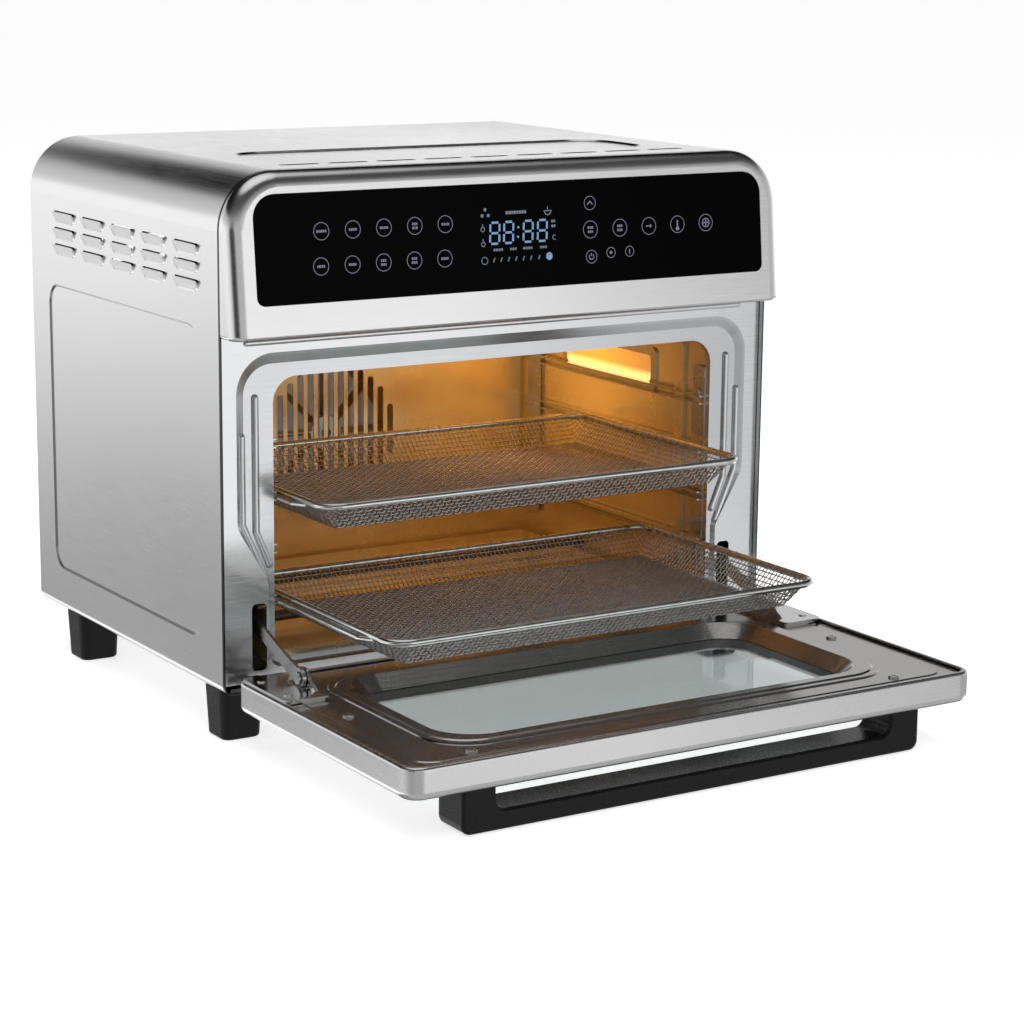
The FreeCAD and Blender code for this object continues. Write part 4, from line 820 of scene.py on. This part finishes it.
# Levels of the surroundings against height (the sine of the elevation), behind and before the oven.
REAR_SKY = ((-1.0, 0.25), (-0.62, 0.25), (-0.44, 1.5), (-0.35, 0.9), (-0.27, 0.36),
            (-0.17, 0.68), (-0.07, 1.04), (0.05, 1.04), (0.14, 0.72), (0.34, 0.48),
            (0.43, 0.0), (0.80, 0.02), (0.89, 0.6), (1.0, 0.8))
FRONT_SKY = ((-1.0, 0.50), (-0.40, 0.46), (-0.24, 0.42), (-0.12, 0.46), (0.0, 0.50),
             (0.12, 0.50), (0.30, 0.30), (0.50, 0.10), (0.80, 0.06), (0.89, 0.6), (1.0, 0.8))
SKY_TOP = 2.0
# Soft cards: direction, cosines where the card begins and is full, its lower edge and its level.
CARDS = (((-0.83, -0.53, -0.15), 0.90, 0.97, -0.18, 0.02),
         ((0.34, -0.93, -0.08), 0.95, 0.98, -0.9, 1.05),
         ((0.555, -0.777, -0.296), 0.9936, 0.9986, -0.9, 0.95))


def level_ramp(tree, height, stops):
    ramp = tree.nodes.new("ShaderNodeFloatCurve")
    curve = ramp.mapping.curves[0]
    while len(curve.points) < len(stops):
        curve.points.new(0.5, 0.5)
    for point, (place, level) in zip(curve.points, stops):
        point.location = (0.5 + 0.5 * place, level / SKY_TOP)
        point.handle_type = "AUTO_CLAMPED"
    ramp.mapping.update()
    tree.links.new(height, ramp.inputs["Value"])
    return ramp.outputs["Value"]


def blend_levels(tree, share, first, second):
    mix = tree.nodes.new("ShaderNodeMix")
    tree.links.new(share, mix.inputs["Factor"])
    for socket, value in (("A", first), ("B", second)):
        if isinstance(value, float):
            mix.inputs[socket].default_value = value
        else:
            tree.links.new(value, mix.inputs[socket])
    return mix.outputs["Result"]


def make_sky():
    """Soft studio surroundings: a bright ceiling, a dark band behind it and a few soft cards."""
    world = bpy.data.worlds.new("studio")
    bpy.context.scene.world = world
    world.use_nodes = True
    tree = world.node_tree
    source = tree.nodes.new("ShaderNodeTexCoord")
    parts = tree.nodes.new("ShaderNodeSeparateXYZ")
    tree.links.new(source.outputs["Generated"], parts.inputs["Vector"])
    height = spread(tree, parts.outputs["Z"], 0.0, 1.0, -1.0, 1.0)
    rear = level_ramp(tree, height, REAR_SKY)
    front = level_ramp(tree, height, FRONT_SKY)
    level = blend_levels(tree, spread(tree, parts.outputs["Y"], 0.0, 1.0, -0.35, 0.35), front, rear)
    for direction, outer, inner, lower_edge, brightness in CARDS:
        facing = tree.nodes.new("ShaderNodeVectorMath")
        facing.operation = "DOT_PRODUCT"
        facing.inputs[1].default_value = Vector(direction).normalized()
        tree.links.new(source.outputs["Generated"], facing.inputs[0])
        cone = spread(tree, facing.outputs["Value"], 0.0, 1.0, outer, inner)
        above = spread(tree, parts.outputs["Z"], 0.0, 1.0, lower_edge - 0.06, lower_edge + 0.02)
        share = combine(tree, "MULTIPLY", cone, above)
        level = blend_levels(tree, share, level, brightness / SKY_TOP)
    background = tree.nodes["Background"]
    background.inputs["Color"].default_value = (1.0, 1.0, 1.0, 1.0)
    strength = tree.nodes.new("ShaderNodeMath")
    strength.operation = "MULTIPLY"
    strength.inputs[1].default_value = SKY_TOP
    tree.links.new(level, strength.inputs[0])
    tree.links.new(strength.outputs["Value"], background.inputs["Strength"])


def area_light(name, place, target, size, power, colour=(1.0, 1.0, 1.0), size_y=None):
    data = bpy.data.lights.new(name, "AREA")
    data.energy = power
    data.color = colour
    data.shape = "RECTANGLE"
    data.size = size
    data.size_y = size_y or size
    light = bpy.data.objects.new(name, data)
    bpy.context.scene.collection.objects.link(light)
    light.location = place
    light.visible_glossy = False
    light.rotation_euler = (Vector(target) - Vector(place)).to_track_quat("-Z", "Y").to_euler()
    return light


WARM = (1.0, 0.52, 0.13)
LAMP_GAP = 6.0 * MM


def cavity_glow(name, place, power):
    """Small warm light that isn't itself seen in the glass or the steel."""
    data = bpy.data.lights.new(name, "POINT")
    data.energy = power
    data.color = WARM
    data.shadow_soft_size = 0.02
    glow = bpy.data.objects.new(name, data)
    glow.location = place
    glow.visible_glossy = False
    glow.visible_transmission = False
    bpy.context.scene.collection.objects.link(glow)


def make_lights():
    area_light("key_light", (-1.2, -1.8, 2.2), (0, 0, 0.2), 1.4, 20)
    area_light("top_light", (0.3, 0.2, 2.4), (0, 0, 0.3), 1.8, 26)
    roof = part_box("cavity_roof")[0].z
    lens_low, lens_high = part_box("lamp_lens")
    lens = 0.5 * (lens_low + lens_high)
    lamp_place = (lens_low.x - LAMP_GAP, lens.y, lens.z)
    area_light("lamp_light", lamp_place, (0.0, lens.y, 0.15), 0.09, 0.12, WARM, 0.02)
    cavity_glow("upper_glow", Vector((0.10, lens.y + 0.02, roof - 0.05)), 0.55)
    cavity_glow("lower_glow", Vector((-0.02, lens.y - 0.01, 0.5 * roof)), 0.26)


def main():
    make_camera()
    materials = make_materials()
    dress_nodes(materials)
    for level in ("upper", "lower"):
        woven_tray(level + "_woven_tray", level + "_basket_mesh", level + "_basket", materials["wire"])
        rim_stitches(level + "_rim_stitches", level + "_basket_rim", level + "_basket", materials["wire"])
    touch_panel(materials)
    make_floor()
    make_sky()
    make_lights()
    bpy.context.scene.view_settings.view_transform = "Standard"


main()
